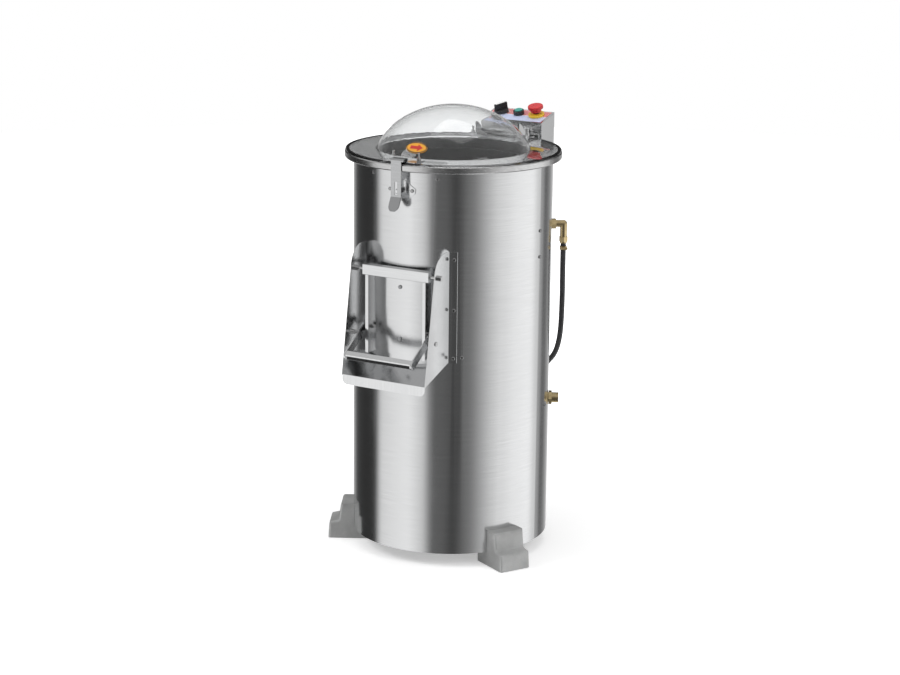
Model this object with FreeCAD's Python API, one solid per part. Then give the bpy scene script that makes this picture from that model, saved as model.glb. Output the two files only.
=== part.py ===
import FreeCAD, Part
import math
import os

from FreeCAD import Vector

# Electric potato peeler: a stainless drum cabinet on three cast feet, with a clear domed lid,
# a front discharge chute, a control box at the back and a belt drive under the drum.
# Millimetres. Origin on the drum axis at floor level, +Z up, the front faces -Y.

# Cabinet
casing_radius = 250.0
sheet = 1.5
casing_bottom = 35.0
rim_radius = 272.5
rim_height = 1018.0
rim_band = 17.0
seat_gap = 0.3
hole_gap = 0.2
running_gap = 0.08

# Drum and lining
drum_inner_radius = 195.0
drum_wall = 2.0
lining_thickness = 3.0
drum_floor_top = 515.0
drum_floor_thickness = 4.0
lining_bottom = 556.0
lining_top_gap = 26.0

# Doorway and discharge door
doorway_width = 136.0
doorway_bottom = 560.0
doorway_height = 165.0
duct_wall = 2.0
gasket_width = 5.0
gasket_thickness = 2.9
door_width = 158.0
door_bottom = 541.0
door_flange_reach = 275.0
door_lip = 7.0
door_hinge_y = -268.0
door_hinge_z = 750.0
hinge_bar_length = 188.0
hinge_bar_depth = 18.0
hinge_bar_height = 26.0
door_plug_thickness = 9.0
door_open_angle = 60.0

# Chute
chute_width = 240.0
chute_plate_top = 807.0
chute_plate_bottom = 529.0
chute_shoulder_y = -289.0
chute_shoulder_z = 765.0
tray_front_y = -330.0
tray_front_z = 491.0
tray_lip = 23.0
chute_flange = 17.0
chute_screw_heights = (788.0, 662.0, 541.0)

# Door lever
lever_pivot_y = -258.0
lever_pivot_z = 605.0
lever_length = 108.0
lever_angle = 32.5
lever_width = 196.0
lever_strap = 22.0
lever_bar_depth = 14.0
lever_sheet = 3.0
lever_bar_round = 5.0
lever_arm_x = 93.0
lock_pin_distance = 28.0
lock_pin_radius = 3.5
notch_slant = 35.0

# Lid
lid_radius = 271.0
lid_sheet = 3.0
dome_radius = 193.0
dome_height = 108.0
dome_cut = 45.0
lid_gasket_thickness = 1.2
lid_gasket_width = 8.0
lid_hinge_y = 288.0
lid_hinge_z = 1032.0
lid_hinge_pin_radius = 4.0
lid_arm_x = 62.0
lid_arm_sheet = 4.0

# Latch
hasp_width = 29.0
hasp_sheet = 1.8
hasp_face_y = -273.4
hasp_axis_z = 1028.0
hasp_knuckle_radius = 4.5
hasp_pin_radius = 2.0
hasp_bottom = 939.0
hasp_slot_width = 7.0
hasp_slot_bottom = 944.0
hasp_slot_top = 976.0
catch_height = 953.0

# Control box
box_width = 176.0
box_front_y = 302.0
box_depth = 70.0
box_bottom = 825.0
box_front_top = 1054.0
box_slope = 15.2
box_lip = 17.0
control_pitch = 52.0
control_row_y = 340.0

# Rotating disc and its drive
disc_radius = 188.0
disc_bottom = 541.0
disc_thickness = 6.0
abrasive_coat = 4.0
wave_height = 9.0
shaft_radius = 12.5
bearing_radius = 26.0
bearing_height = 15.0
bearing_housing_bottom = 412.0
bearing_housing_wall = 10.0
pulley_bottom = 380.0
pulley_height = 24.0
driven_pulley_radius = 120.0
motor_pulley_radius = 36.0
belt_height = 8.0
belt_thickness = 8.0
motor_offset = 160.0
motor_radius = 75.0
motor_length = 230.0
motor_plate_top = 358.0
motor_plate_thickness = 6.0
motor_shaft_radius = 9.5

# Feet
foot_width = 86.0
foot_reach = 314.0
foot_inner = 205.0
foot_step_height = 43.0
foot_height = 92.0
foot_upper_reach = 281.0
foot_angles = (62.0, -62.0, 180.0)

# Water and drain
water_angle = 126.0
elbow_height = 826.0
elbow_reach = 283.0
hose_radius = 6.9
inlet_angle = 117.0
inlet_height = 380.0
inlet_radius = 13.2
return_angle = 166.0
return_height = 351.0
drain_radius = 25.0
drain_wall = 2.0
drain_y = 165.0
drain_bend = 60.0
drain_height = 380.0
drain_end = 305.0
drain_step = 0.4
drain_collar_seat = 1.0
drain_collar_width = 5.0
drain_collar_rise = 3.5

# Worked-out places
drum_outer_radius = drum_inner_radius + drum_wall
casing_inner_radius = casing_radius - sheet
rim_plate_bottom = rim_height - sheet
doorway_top = doorway_bottom + doorway_height
doorway_half = doorway_width / 2
door_half = door_width / 2
door_inner_radius = casing_radius + gasket_thickness - 1.9
door_top = door_hinge_z - hinge_bar_height / 2
chute_half = chute_width / 2
lid_bottom = rim_height + seat_gap + lid_gasket_thickness
lid_top = lid_bottom + lid_sheet
box_back_y = box_front_y + box_depth
box_half = box_width / 2
slope_rise = math.tan(math.radians(box_slope))
disc_top = disc_bottom + disc_thickness
pulley_top = pulley_bottom + pulley_height
belt_bottom = pulley_bottom + (pulley_height - belt_height) / 2
drum_floor_bottom = drum_floor_top - drum_floor_thickness

AXIS_X = Vector(1, 0, 0)
AXIS_Y = Vector(0, 1, 0)
AXIS_Z = Vector(0, 0, 1)
ORIGIN = Vector(0, 0, 0)
os.makedirs("parts", exist_ok=True)


def save(name, shape):
    """Write one sub-part under its own name."""
    shape.exportStep("parts/" + name + ".step")


def save_group(name, shapes):
    """Write the separate solids of one sub-part."""
    solids = [solid for shape in shapes for solid in shape.Solids]
    save(name, Part.makeCompound(solids))


def outward(solid):
    """The solid with its faces turned outward."""
    if solid.Volume < 0:
        solid.reverse()
    return solid


def block(x0, x1, y0, y1, z0, z1):
    """A box between two opposite corners."""
    return Part.makeBox(x1 - x0, y1 - y0, z1 - z0, Vector(x0, y0, z0))


def rod(radius, start, end):
    """A round bar from start to end."""
    way = end - start
    return Part.makeCylinder(radius, way.Length, start, way)


def ring(outer, inner, z0, z1, x=0.0, y=0.0):
    """An upright tube about the point x, y."""
    solid = rod(outer, Vector(x, y, z0), Vector(x, y, z1))
    reach = 1.0
    return solid.cut(rod(inner, Vector(x, y, z0 - reach), Vector(x, y, z1 + reach)))


def turned(profile):
    """A solid turned about the drum axis from its outline of radius and height."""
    points = [Vector(r, 0, z) for r, z in profile]
    face = Part.Face(Part.makePolygon(points + points[:1]))
    return outward(face.revolve(ORIGIN, AXIS_Z, 360))


def side_plate(outline, x0, x1):
    """A plate whose outline of y and z is carried from x0 to x1."""
    points = [Vector(x0, y, z) for y, z in outline]
    face = Part.Face(Part.makePolygon(points + points[:1]))
    return face.extrude(Vector(x1 - x0, 0, 0))


def front_plate(outline, y0, y1):
    """A plate whose outline of x and z is carried from y0 to y1."""
    points = [Vector(x, y0, z) for x, z in outline]
    face = Part.Face(Part.makePolygon(points + points[:1]))
    return face.extrude(Vector(0, y1 - y0, 0))


def turn(shape, degrees):
    """The shape swung about the drum axis from the front towards +X."""
    moved = shape.copy()
    moved.rotate(ORIGIN, AXIS_Z, degrees)
    return moved


def mirrored(shape):
    """The shape's image on the other side of the machine."""
    return shape.mirror(ORIGIN, AXIS_X)


def around(radius, degrees, z):
    """The point at a radius and at an angle from the front towards +X."""
    angle = math.radians(degrees)
    return Vector(radius * math.sin(angle), -radius * math.cos(angle), z)


def fused(shapes):
    """One solid from several that meet."""
    whole = shapes[0]
    for shape in shapes[1:]:
        whole = whole.fuse(shape)
    return whole.removeSplitter()


def cut_all(shape, tools):
    """The shape without any of the tools."""
    for tool in tools:
        shape = shape.cut(tool)
    return shape


def hexagon(width, height, start, way):
    """A hexagon bar of a width across flats, from start along way."""
    corner = width / math.sqrt(3)
    points = [
        Vector(corner * math.cos(math.radians(60 * k)), corner * math.sin(math.radians(60 * k)), 0)
        for k in range(6)
    ]
    bar = Part.Face(Part.makePolygon(points + points[:1])).extrude(Vector(0, 0, height))
    bar.Placement = FreeCAD.Placement(start, FreeCAD.Rotation(AXIS_Z, way))
    return bar


def screw(seat, way, head_radius, head_height, shank_radius, shank_length):
    """A domed screw: its head stands on seat along way and its shank goes the other way."""
    unit = Vector(way).normalize()
    head = rod(head_radius, seat, seat + unit * head_height)
    rim = [edge for edge in head.Edges if abs((edge.CenterOfMass - seat).dot(unit) - head_height) < 0.01]
    head = head.makeFillet(head_height * 0.6, rim[:1])
    return head.fuse(rod(shank_radius, seat - unit * shank_length, seat)).removeSplitter()


def bolt(seat, way, width, head_height, shank_radius, shank_length):
    """A hexagon bolt: its head stands on seat along way."""
    unit = Vector(way).normalize()
    head = hexagon(width, head_height, seat, unit)
    return head.fuse(rod(shank_radius, seat - unit * shank_length, seat)).removeSplitter()


def nut(seat, way, width, height, bore):
    """A hexagon nut on seat."""
    unit = Vector(way).normalize()
    return hexagon(width, height, seat, unit).cut(rod(bore, seat - unit, seat + unit * (height + 1)))


def arc_wall(inner, outer, z0, z1, half_width):
    """The front stretch of an upright tube wall, as wide as twice half_width."""
    front = block(-half_width, half_width, -outer - 1, -inner * 0.5, z0, z1)
    return ring(outer, inner, z0, z1).common(front)


# Fasteners on the casing: angle from the front and height
casing_screw_places = (
    (21.5, 985.0),
    (-21.5, 985.0),
    (90.0, 837.0),
    (90.0, 771.0),
    (36.0, 543.0),
    (102.0, 377.0),
)
casing_screw_head = 4.5
casing_screw_dome = 3.0
casing_screw_shank = 2.5
casing_screw_length = 8.0


def radial_screw(radius, degrees, z):
    """A casing screw with its head on the given radius."""
    seat = around(radius, degrees, z)
    out = around(1, degrees, 0)
    return screw(seat, out, casing_screw_head, casing_screw_dome, casing_screw_shank, casing_screw_length)


def radial_hole(degrees, z, radius, depth=60.0):
    """A round cutter through the casing wall, square to it."""
    return rod(radius, around(casing_radius - depth, degrees, z), around(casing_radius + depth, degrees, z))


# Feet, and the bolts that hold them to the casing
foot_bolt_height = 68.0
foot_bolt_radius = 4.0
foot_bolt_spacing = 44.0
foot_bolt_depth = 12.0
foot_edge_round = 6.0


def foot_blank():
    """One cast foot at the front: a stepped block that the casing stands in."""
    inner = casing_radius + hole_gap
    outline = [
        (-foot_inner, 0),
        (-foot_reach, 0),
        (-foot_reach + 3, foot_step_height),
        (-foot_upper_reach - 6, foot_step_height + 5),
        (-foot_upper_reach, foot_height),
        (-inner + 12, foot_height),
        (-inner + 12, casing_bottom),
        (-foot_inner, casing_bottom),
    ]
    half = foot_width / 2
    body = side_plate(outline, -half, half)
    corner_tops = [
        edge
        for edge in body.Edges
        if edge.BoundBox.YMax < -foot_upper_reach + 1 and edge.BoundBox.ZMax > 1
    ]
    body = body.makeFillet(foot_edge_round, corner_tops)
    casing_space = ring(inner, foot_inner - 30, casing_bottom, foot_height + 1)
    return body.cut(casing_space)


def foot_bolt(side):
    """A bolt from inside the casing into a foot's upper block."""
    angle = math.degrees(math.asin(side * foot_bolt_spacing / 2 / casing_radius))
    seat = around(casing_inner_radius - 0.4, angle, foot_bolt_height)
    into = around(-1, angle, 0)
    return bolt(seat, into, 13.0, 5.3, foot_bolt_radius, foot_bolt_depth)


def foot_bolt_hole(side, depth=30.0):
    """The clearance hole of a foot bolt."""
    angle = math.degrees(math.asin(side * foot_bolt_spacing / 2 / casing_radius))
    start = around(casing_radius - 20, angle, foot_bolt_height)
    return rod(foot_bolt_radius + hole_gap, start, around(casing_radius - 20 + depth, angle, foot_bolt_height))


def make_feet():
    names = ("foot_right", "foot_left", "foot_back")
    foot = cut_all(foot_blank(), [foot_bolt_hole(-1, 40.0), foot_bolt_hole(1, 40.0)])
    for name, angle in zip(names, foot_angles):
        save(name, turn(foot, angle))


# Casing and its rings
doorway_frame = gasket_width + duct_wall


def casing_opening():
    """The doorway cut in the casing, with room for the gasket."""
    half = doorway_half + doorway_frame
    return block(
        -half, half, -casing_radius - 5, -casing_radius + 60, doorway_bottom - doorway_frame,
        doorway_top + doorway_frame,
    )


def make_casing():
    drain_exit = Vector(0, casing_radius, drain_height)
    shell = ring(casing_radius, casing_inner_radius, casing_bottom, rim_plate_bottom)
    holes = [casing_opening()]
    screw_bore = casing_screw_shank + hole_gap
    holes += [radial_hole(angle, z, screw_bore) for angle, z in casing_screw_places]
    for z in chute_screw_heights:
        holes += [radial_hole(side * flange_screw_angle(), z, screw_bore) for side in (-1, 1)]
    holes += [radial_hole(side * catch_screw_angle, catch_height, screw_bore) for side in (-1, 1)]
    holes += [turn(foot_bolt_hole(side), angle) for angle in foot_angles for side in (-1, 1)]
    holes += [
        radial_hole(water_angle, elbow_height, elbow_tail_radius + hole_gap),
        radial_hole(inlet_angle, inlet_height, inlet_radius + hole_gap),
        radial_hole(return_angle, return_height, elbow_tail_radius + hole_gap),
        rod(drain_radius + seat_gap, drain_exit - AXIS_Y * drain_radius, drain_exit + AXIS_Y * drain_radius),
    ]
    save("casing", cut_all(shell, holes))


def base_ring():
    """The angle ring that stiffens the open bottom of the casing."""
    outer = casing_inner_radius
    return turned(
        [
            (outer - 20, casing_bottom),
            (outer, casing_bottom),
            (outer, casing_bottom + 18),
            (outer - 2, casing_bottom + 18),
            (outer - 2, casing_bottom + 2),
            (outer - 20, casing_bottom + 2),
        ]
    )


def make_top_ring():
    """The folded rim: a flat plate under the lid with a rounded outer bead over the casing's edge."""
    inner = drum_inner_radius
    lip = casing_radius + seat_gap
    low = rim_height - rim_band
    round_off = 2.5
    solid = turned(
        [
            (inner, rim_plate_bottom),
            (inner, rim_height),
            (rim_radius - round_off, rim_height),
            (rim_radius, rim_height - round_off),
            (rim_radius, low + round_off),
            (rim_radius - round_off, low),
            (lip, low),
            (lip, low + sheet),
            (rim_radius - round_off, low + sheet),
            (rim_radius - sheet, low + round_off),
            (rim_radius - sheet, rim_height - round_off),
            (rim_radius - round_off, rim_plate_bottom),
        ]
    )
    save("top_ring", solid)


# Drum
duct_outer_half = doorway_half + duct_wall


def duct_box(half, bottom, top):
    """The block of the doorway passage."""
    return block(-half, half, -casing_radius - 30, -drum_inner_radius * 0.6, bottom, top)


def make_drum():
    shell = ring(drum_outer_radius, drum_inner_radius, drum_floor_top, rim_plate_bottom)
    opening = duct_box(doorway_half, doorway_bottom, doorway_top)
    spray = rod(elbow_tail_radius + hole_gap, ORIGIN, around(casing_radius, water_angle, 0))
    spray.translate(Vector(0, 0, elbow_height))
    save("drum", shell.cut(opening).cut(spray))


def make_lining():
    """The abrasive lining that rubs the potatoes, fixed to the drum wall."""
    inner = drum_inner_radius - lining_thickness
    shell = ring(drum_inner_radius, inner, lining_bottom, rim_plate_bottom - lining_top_gap)
    opening = duct_box(doorway_half, doorway_bottom, doorway_top)
    spray = rod(elbow_tail_radius + hole_gap, ORIGIN, around(casing_radius, water_angle, 0))
    spray.translate(Vector(0, 0, elbow_height))
    save("drum_lining", shell.cut(opening).cut(spray))


housing_bolt_circle = 50.0
housing_bolt_count = 6
housing_flange_radius = 62.0
housing_flange_thickness = 8.0
stud_places = ((-190.0, 125.0), (-190.0, -125.0), (-70.0, 145.0), (-70.0, -145.0))
stud_radius = 5.0


def housing_bolt_points():
    """Where the bearing housing is bolted up."""
    step = 360.0 / housing_bolt_count
    return [around(housing_bolt_circle, step * k, 0) for k in range(housing_bolt_count)]


def make_drum_floor():
    plate = ring(casing_inner_radius - seat_gap, bearing_radius, drum_floor_bottom, drum_floor_top)
    drain = rod(drain_radius - drain_wall, Vector(0, drain_y, 500), Vector(0, drain_y, 520))
    tools = [drain]
    for point in housing_bolt_points():
        tools.append(rod(4.2, point + Vector(0, 0, 480), point + Vector(0, 0, 520)))
    save("drum_floor", cut_all(plate, tools))


def floor_ring():
    """The angle ring on the casing wall that carries the drum floor."""
    outer = casing_inner_radius
    return turned(
        [
            (outer - 14, drum_floor_bottom - 3),
            (outer - 2, drum_floor_bottom - 3),
            (outer - 2, drum_floor_bottom - 30),
            (outer, drum_floor_bottom - 30),
            (outer, drum_floor_bottom),
            (outer - 14, drum_floor_bottom),
        ]
    )


def make_casing_rings():
    save_group("casing_rings", [base_ring(), floor_ring()])


def make_duct():
    """The passage from the drum to the doorway."""
    outer = duct_box(duct_outer_half, doorway_bottom - duct_wall, doorway_top + duct_wall)
    inner = duct_box(doorway_half, doorway_bottom, doorway_top)
    end = casing_radius - 2.5
    between = ring(end, drum_outer_radius + hole_gap, doorway_bottom - 10, doorway_top + 10)
    save("door_duct", outer.cut(inner).common(between))


def make_door_gasket():
    """The seal around the doorway, between the duct's end and the door."""
    half = doorway_half + doorway_frame - hole_gap
    frame = duct_box(half, doorway_bottom - doorway_frame + hole_gap, doorway_top + doorway_frame - hole_gap)
    hole = duct_box(doorway_half, doorway_bottom, doorway_top)
    start = casing_radius - 2.2
    wall = ring(start + gasket_thickness, start, doorway_bottom - 10, doorway_top + 10)
    save("door_gasket", frame.cut(hole).common(wall))


# Discharge door
door_screw_heights = (712.0, 582.0)
door_screw_head = 5.0
door_screw_dome = 3.0
hinge_bolt_radius = 4.0
lever_pivot_radius = 4.0
lever_pivot = Vector(0, lever_pivot_y, lever_pivot_z)
door_axis = Vector(0, door_hinge_y, door_hinge_z)


def make_door():
    """The curved door leaf with its side flanges and their turned-out lips."""
    radius = door_inner_radius
    leaf = arc_wall(radius, radius + sheet, door_bottom, door_top, door_half)
    flange_back = block(door_half - sheet, door_half, -door_flange_reach, -200, door_bottom, door_top)
    flange = flange_back.cut(rod(radius, Vector(0, 0, door_bottom - 1), Vector(0, 0, door_top + 1)))
    lip = block(
        door_half - sheet, door_half + door_lip, -door_flange_reach - sheet, -door_flange_reach,
        door_bottom, door_top,
    )
    side = flange.fuse(lip)
    door = fused([leaf, side, mirrored(side)])
    holes = [
        rod(casing_screw_shank + hole_gap, Vector(0, -300, z), Vector(0, -200, z)) for z in door_screw_heights
    ]
    pivot_reach = Vector(door_half + 20, 0, 0)
    holes.append(rod(lever_pivot_radius + hole_gap, lever_pivot - pivot_reach, lever_pivot + pivot_reach))
    save("door", cut_all(door, holes))


def make_hinge_bar():
    """The folded channel along the top of the door, which turns on its end bolts."""
    half = hinge_bar_length / 2
    deep = hinge_bar_depth / 2
    tall = hinge_bar_height / 2
    wall = 2.0
    y, z = door_hinge_y, door_hinge_z
    outer = block(-half, half, y - deep, y + deep, z - tall, z + tall)
    edges = [edge for edge in outer.Edges if edge.BoundBox.XLength > half and edge.BoundBox.YMax < y]
    outer = outer.makeFillet(1.5, edges)
    end_wall = 5.0
    hollow = block(
        -half + end_wall, half - end_wall, y - deep + wall, y + deep + 1, z - tall + wall, z + tall - wall
    )
    reach = Vector(half + 1, 0, 0)
    bore = rod(hinge_bolt_radius + running_gap, door_axis - reach, door_axis + reach)
    save("door_hinge_bar", outer.cut(hollow).cut(bore))


def hinge_bolt():
    """One end bolt: head outside the chute plate, shank into the bar's end."""
    seat = Vector(chute_half, door_hinge_y, door_hinge_z)
    shank = chute_half - hinge_bar_length / 2 + 4.5
    collar_in = Vector(chute_half - sheet, door_hinge_y, door_hinge_z)
    collar = rod(7.0, collar_in, collar_in - Vector(9.0, 0, 0))
    return fused([bolt(seat, AXIS_X, 13.0, 8.0, hinge_bolt_radius, shank), collar])


def make_chute_pins():
    """The door's hinge bolts and the lock pins, all carried by the chute plates."""
    right = [hinge_bolt(), lock_pin()]
    save_group("chute_pins", right + [mirrored(pin) for pin in right])


def make_door_plug():
    """The pad that fills the doorway behind the door leaf."""
    side_gap = 5.0
    outer = door_inner_radius - hole_gap
    half = doorway_half - side_gap
    pad = ring(outer, outer - door_plug_thickness, doorway_bottom + side_gap, doorway_top - side_gap)
    front = block(-half, half, -outer - 1, -outer * 0.5, doorway_bottom, doorway_top)
    holes = [
        rod(casing_screw_shank + hole_gap, Vector(0, -300, z), Vector(0, -200, z)) for z in door_screw_heights
    ]
    seat_y = -door_inner_radius - sheet - hole_gap
    screws = [
        screw(Vector(0, seat_y, z), Vector(0, -1, 0), door_screw_head, door_screw_dome, casing_screw_shank, 9.0)
        for z in door_screw_heights
    ]
    save_group("door_plug", [cut_all(pad.common(front), holes)] + screws)


# Door lever
lever_direction = Vector(
    0, -math.cos(math.radians(lever_angle)), -math.sin(math.radians(lever_angle))
)
lock_pin_centre = lever_pivot + lever_direction * lock_pin_distance


def along_lever(shape):
    """A shape drawn with the lever lying along -Y at the origin, brought to its place."""
    placed = shape.copy()
    placed.rotate(ORIGIN, AXIS_X, lever_angle)
    placed.translate(lever_pivot)
    return placed


def lever_arm():
    """One arm: a strap with round ends, and a notch in its lower edge that drops over the lock pin."""
    half = lever_strap / 2
    x0, x1 = lever_arm_x, lever_arm_x + lever_sheet
    start = rod(half, Vector(x0, 0, 0), Vector(x1, 0, 0))
    end = rod(half, Vector(x0, -lever_length, 0), Vector(x1, -lever_length, 0))
    strap = block(x0, x1, -lever_length, 0, -half, half)
    arm = fused([strap, start, end])
    seat = lock_pin_radius + 1.0
    pin_line = Vector(0, -lock_pin_distance, 0)
    notch = rod(seat, pin_line + Vector(x0 - 1, 0, 0), pin_line + Vector(x1 + 1, 0, 0))
    slant = math.radians(notch_slant)
    upper = (-lock_pin_distance + seat * math.sin(slant), seat * math.cos(slant))
    fall = (upper[1] + half + 1) / math.tan(slant)
    mouth = side_plate(
        [
            upper,
            (upper[0] + fall, -half - 1),
            (-lock_pin_distance - seat, -half - 1),
            (-lock_pin_distance - seat, 0),
        ],
        x0 - 1,
        x1 + 1,
    )
    pivot = rod(lever_pivot_radius + running_gap, Vector(x0 - 1, 0, 0), Vector(x1 + 1, 0, 0))
    return cut_all(arm, [notch, mouth, pivot])


def lever_bar():
    """The grip between the arms, folded open towards the door."""
    half = lever_width / 2
    wall = 2.0
    front = -lever_length - lever_bar_depth / 2
    back = -lever_length + lever_bar_depth / 2
    tall = lever_strap / 2 - 1
    outer = block(-half, half, front, back, -tall, tall)
    edges = [edge for edge in outer.Edges if edge.BoundBox.XLength > half and edge.BoundBox.YMax < front + 1]
    outer = outer.makeFillet(lever_bar_round, edges)
    hollow = block(-half + wall, half - wall, front + wall, back + 1, -tall + wall, tall - wall)
    return outer.cut(hollow)


def make_lever():
    arm = lever_arm()
    save("door_lever", along_lever(fused([lever_bar(), arm, mirrored(arm)])))


def make_lever_bolts():
    """The pivot bolts of the lever, through the door's side flanges."""
    seat = Vector(lever_arm_x + lever_sheet + 0.5, lever_pivot_y, lever_pivot_z)
    shank = lever_arm_x + lever_sheet - door_half + 9.0
    one = bolt(seat, AXIS_X, 10.0, 4.0, lever_pivot_radius, shank)
    nut_seat = Vector(door_half - sheet - seat_gap, lever_pivot_y, lever_pivot_z)
    tail = nut(nut_seat, Vector(-1, 0, 0), 10.0, 4.5, lever_pivot_radius)
    spacer_from = Vector(door_half + seat_gap, lever_pivot_y, lever_pivot_z)
    spacer_to = Vector(lever_arm_x - 0.5, lever_pivot_y, lever_pivot_z)
    spacer = rod(6.0, spacer_from, spacer_to)
    whole = fused([one, tail, spacer])
    save_group("lever_pivot_bolts", [whole, mirrored(whole)])


def lock_pin():
    """The right-hand pin that the lever's notch drops over."""
    seat = Vector(chute_half, lock_pin_centre.y, lock_pin_centre.z)
    inner_end = Vector(lever_arm_x - 1.0, lock_pin_centre.y, lock_pin_centre.z)
    pin = rod(lock_pin_radius, inner_end, seat)
    head = screw(seat, AXIS_X, 6.0, 2.5, lock_pin_radius, 1.0)
    collar_from = Vector(chute_half - sheet, lock_pin_centre.y, lock_pin_centre.z)
    collar = rod(6.0, collar_from - Vector(5.0, 0, 0), collar_from)
    return fused([pin, head, collar])


# Chute
def chute_side():
    """The right-hand chute plate with its flange rolled to the casing."""
    top_y = -math.sqrt(casing_radius ** 2 - chute_half ** 2)
    start = Vector(chute_half - sheet, top_y - 2, chute_plate_top)
    middle = Vector(chute_half - sheet, chute_shoulder_y + 17, chute_plate_top - 12)
    shoulder = Vector(chute_half - sheet, chute_shoulder_y, chute_shoulder_z)
    front = Vector(chute_half - sheet, tray_front_y - 2, tray_front_z)
    foot = Vector(chute_half - sheet, top_y - 6, chute_plate_bottom)
    inside_low = Vector(chute_half - sheet, top_y + 15, chute_plate_bottom)
    inside_high = Vector(chute_half - sheet, top_y + 15, chute_plate_top)
    curve = Part.Arc(start, middle, shoulder).toShape()
    lines = Part.makePolygon([shoulder, front, foot, inside_low, inside_high, start])
    face = Part.Face(Part.Wire([curve] + lines.Edges))
    plate = face.extrude(Vector(sheet, 0, 0))
    seat_radius = casing_radius + hole_gap
    plate = plate.cut(rod(seat_radius, Vector(0, 0, 400), Vector(0, 0, 900)))
    wall = ring(seat_radius + sheet, seat_radius, chute_plate_bottom, chute_plate_top)
    strip = block(
        chute_half - sheet, chute_half + chute_flange, -casing_radius - 5, 0, chute_plate_bottom,
        chute_plate_top,
    )
    flange = wall.common(strip)
    return fused([plate, flange])


def flange_screw_angle():
    """How far round from the front the flange screws lie."""
    return math.degrees(math.asin((chute_half + chute_flange * 0.55) / casing_radius))


def make_chute_sides():
    side = chute_side()
    angle = flange_screw_angle()
    tools = [radial_hole(angle, z, casing_screw_shank + hole_gap) for z in chute_screw_heights]
    reach = Vector(chute_half + 10, 0, 0)
    tools.append(rod(hinge_bolt_radius + hole_gap, door_axis, door_axis + reach))
    tools.append(rod(lock_pin_radius + hole_gap, lock_pin_centre, lock_pin_centre + reach))
    side = cut_all(side, tools)
    save_group("chute_sides", [side, mirrored(side)])


def make_tray():
    """The sloping chute floor with its turned-down lip, between the side plates."""
    top_y = -math.sqrt(casing_radius ** 2 - chute_half ** 2)
    slope = (chute_plate_bottom - tray_front_z) / (top_y - 6 - tray_front_y)
    back_y = -200.0
    back_z = chute_plate_bottom + slope * (back_y - (top_y - 6))
    half = chute_half - sheet
    floor = side_plate(
        [
            (tray_front_y, tray_front_z),
            (back_y, back_z),
            (back_y, back_z + sheet),
            (tray_front_y, tray_front_z + sheet),
        ],
        -half,
        half,
    )
    floor = floor.cut(rod(casing_radius + seat_gap, Vector(0, 0, 400), Vector(0, 0, 900)))
    lip_bottom = tray_front_z - tray_lip
    lip = block(-half, half, tray_front_y - sheet, tray_front_y, lip_bottom, tray_front_z + sheet)
    corners = [edge for edge in lip.Edges if edge.BoundBox.YLength > 1 and edge.BoundBox.ZMax < lip_bottom + 5]
    lip = lip.makeFillet(14.0, [edge for edge in corners if edge.BoundBox.XLength < 1])
    save("chute_tray", fused([floor, lip]))


def make_casing_screws():
    """All the small domed screws in the casing wall, those of the chute and the latch among them."""
    screws = [radial_screw(casing_radius, angle, z) for angle, z in casing_screw_places]
    chute_seat = casing_radius + hole_gap + sheet
    latch_seat = casing_radius + hole_gap + catch_plate
    for side in (-1, 1):
        screws += [radial_screw(chute_seat, side * flange_screw_angle(), z) for z in chute_screw_heights]
        screws.append(radial_screw(latch_seat, side * catch_screw_angle, catch_height))
    save_group("casing_screws", screws)


# Latch
catch_screw_x = 31.0
catch_screw_angle = math.degrees(math.asin(catch_screw_x / casing_radius))
catch_plate = 2.0
catch_tongue_half = 2.2
catch_tongue_low = 946.0
catch_tongue_high = 958.0
catch_tongue_gap = 0.5
catch_tongue_end = hasp_face_y + catch_tongue_gap


def make_latch_catch():
    """The winged plate on the casing with the tongue that the hasp closes over."""
    outline = [
        (-40, 957),
        (-31, 963),
        (-12, 978),
        (12, 978),
        (31, 963),
        (40, 957),
        (38, 946),
        (15, 926),
        (-15, 926),
        (-38, 946),
    ]
    seat_radius = casing_radius + hole_gap
    wall = ring(seat_radius + catch_plate, seat_radius, 900, 1000)
    plate = front_plate(outline, -casing_radius - 10, -200).common(wall)
    holes = [
        radial_hole(side * catch_screw_angle, catch_height, casing_screw_shank + hole_gap) for side in (-1, 1)
    ]
    plate = cut_all(plate, holes)
    tongue = block(
        -catch_tongue_half, catch_tongue_half, catch_tongue_end, -seat_radius - 1, catch_tongue_low,
        catch_tongue_high,
    )
    tips = [
        edge
        for edge in tongue.Edges
        if edge.BoundBox.YMax < catch_tongue_end + 1 and edge.BoundBox.XLength > 1
    ]
    tongue = tongue.makeFillet(3.0, tips)
    save("latch_catch", fused([plate, tongue]))


hasp_axis_y = hasp_face_y - hasp_sheet + hasp_knuckle_radius
hasp_axis = Vector(0, hasp_axis_y, hasp_axis_z)
hasp_ear_inner = hasp_width / 2 + seat_gap
hasp_ear_width = 5.0
hasp_arm_half = 3.5
leaf_half_width = 24.0
leaf_y = -262.0
leaf_top = 1036.0
lid_plate_thickness = 2.0
lid_plate_half = 45.0
lid_bolt_x = 36.0
lid_bolt_y = -228.0


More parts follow.
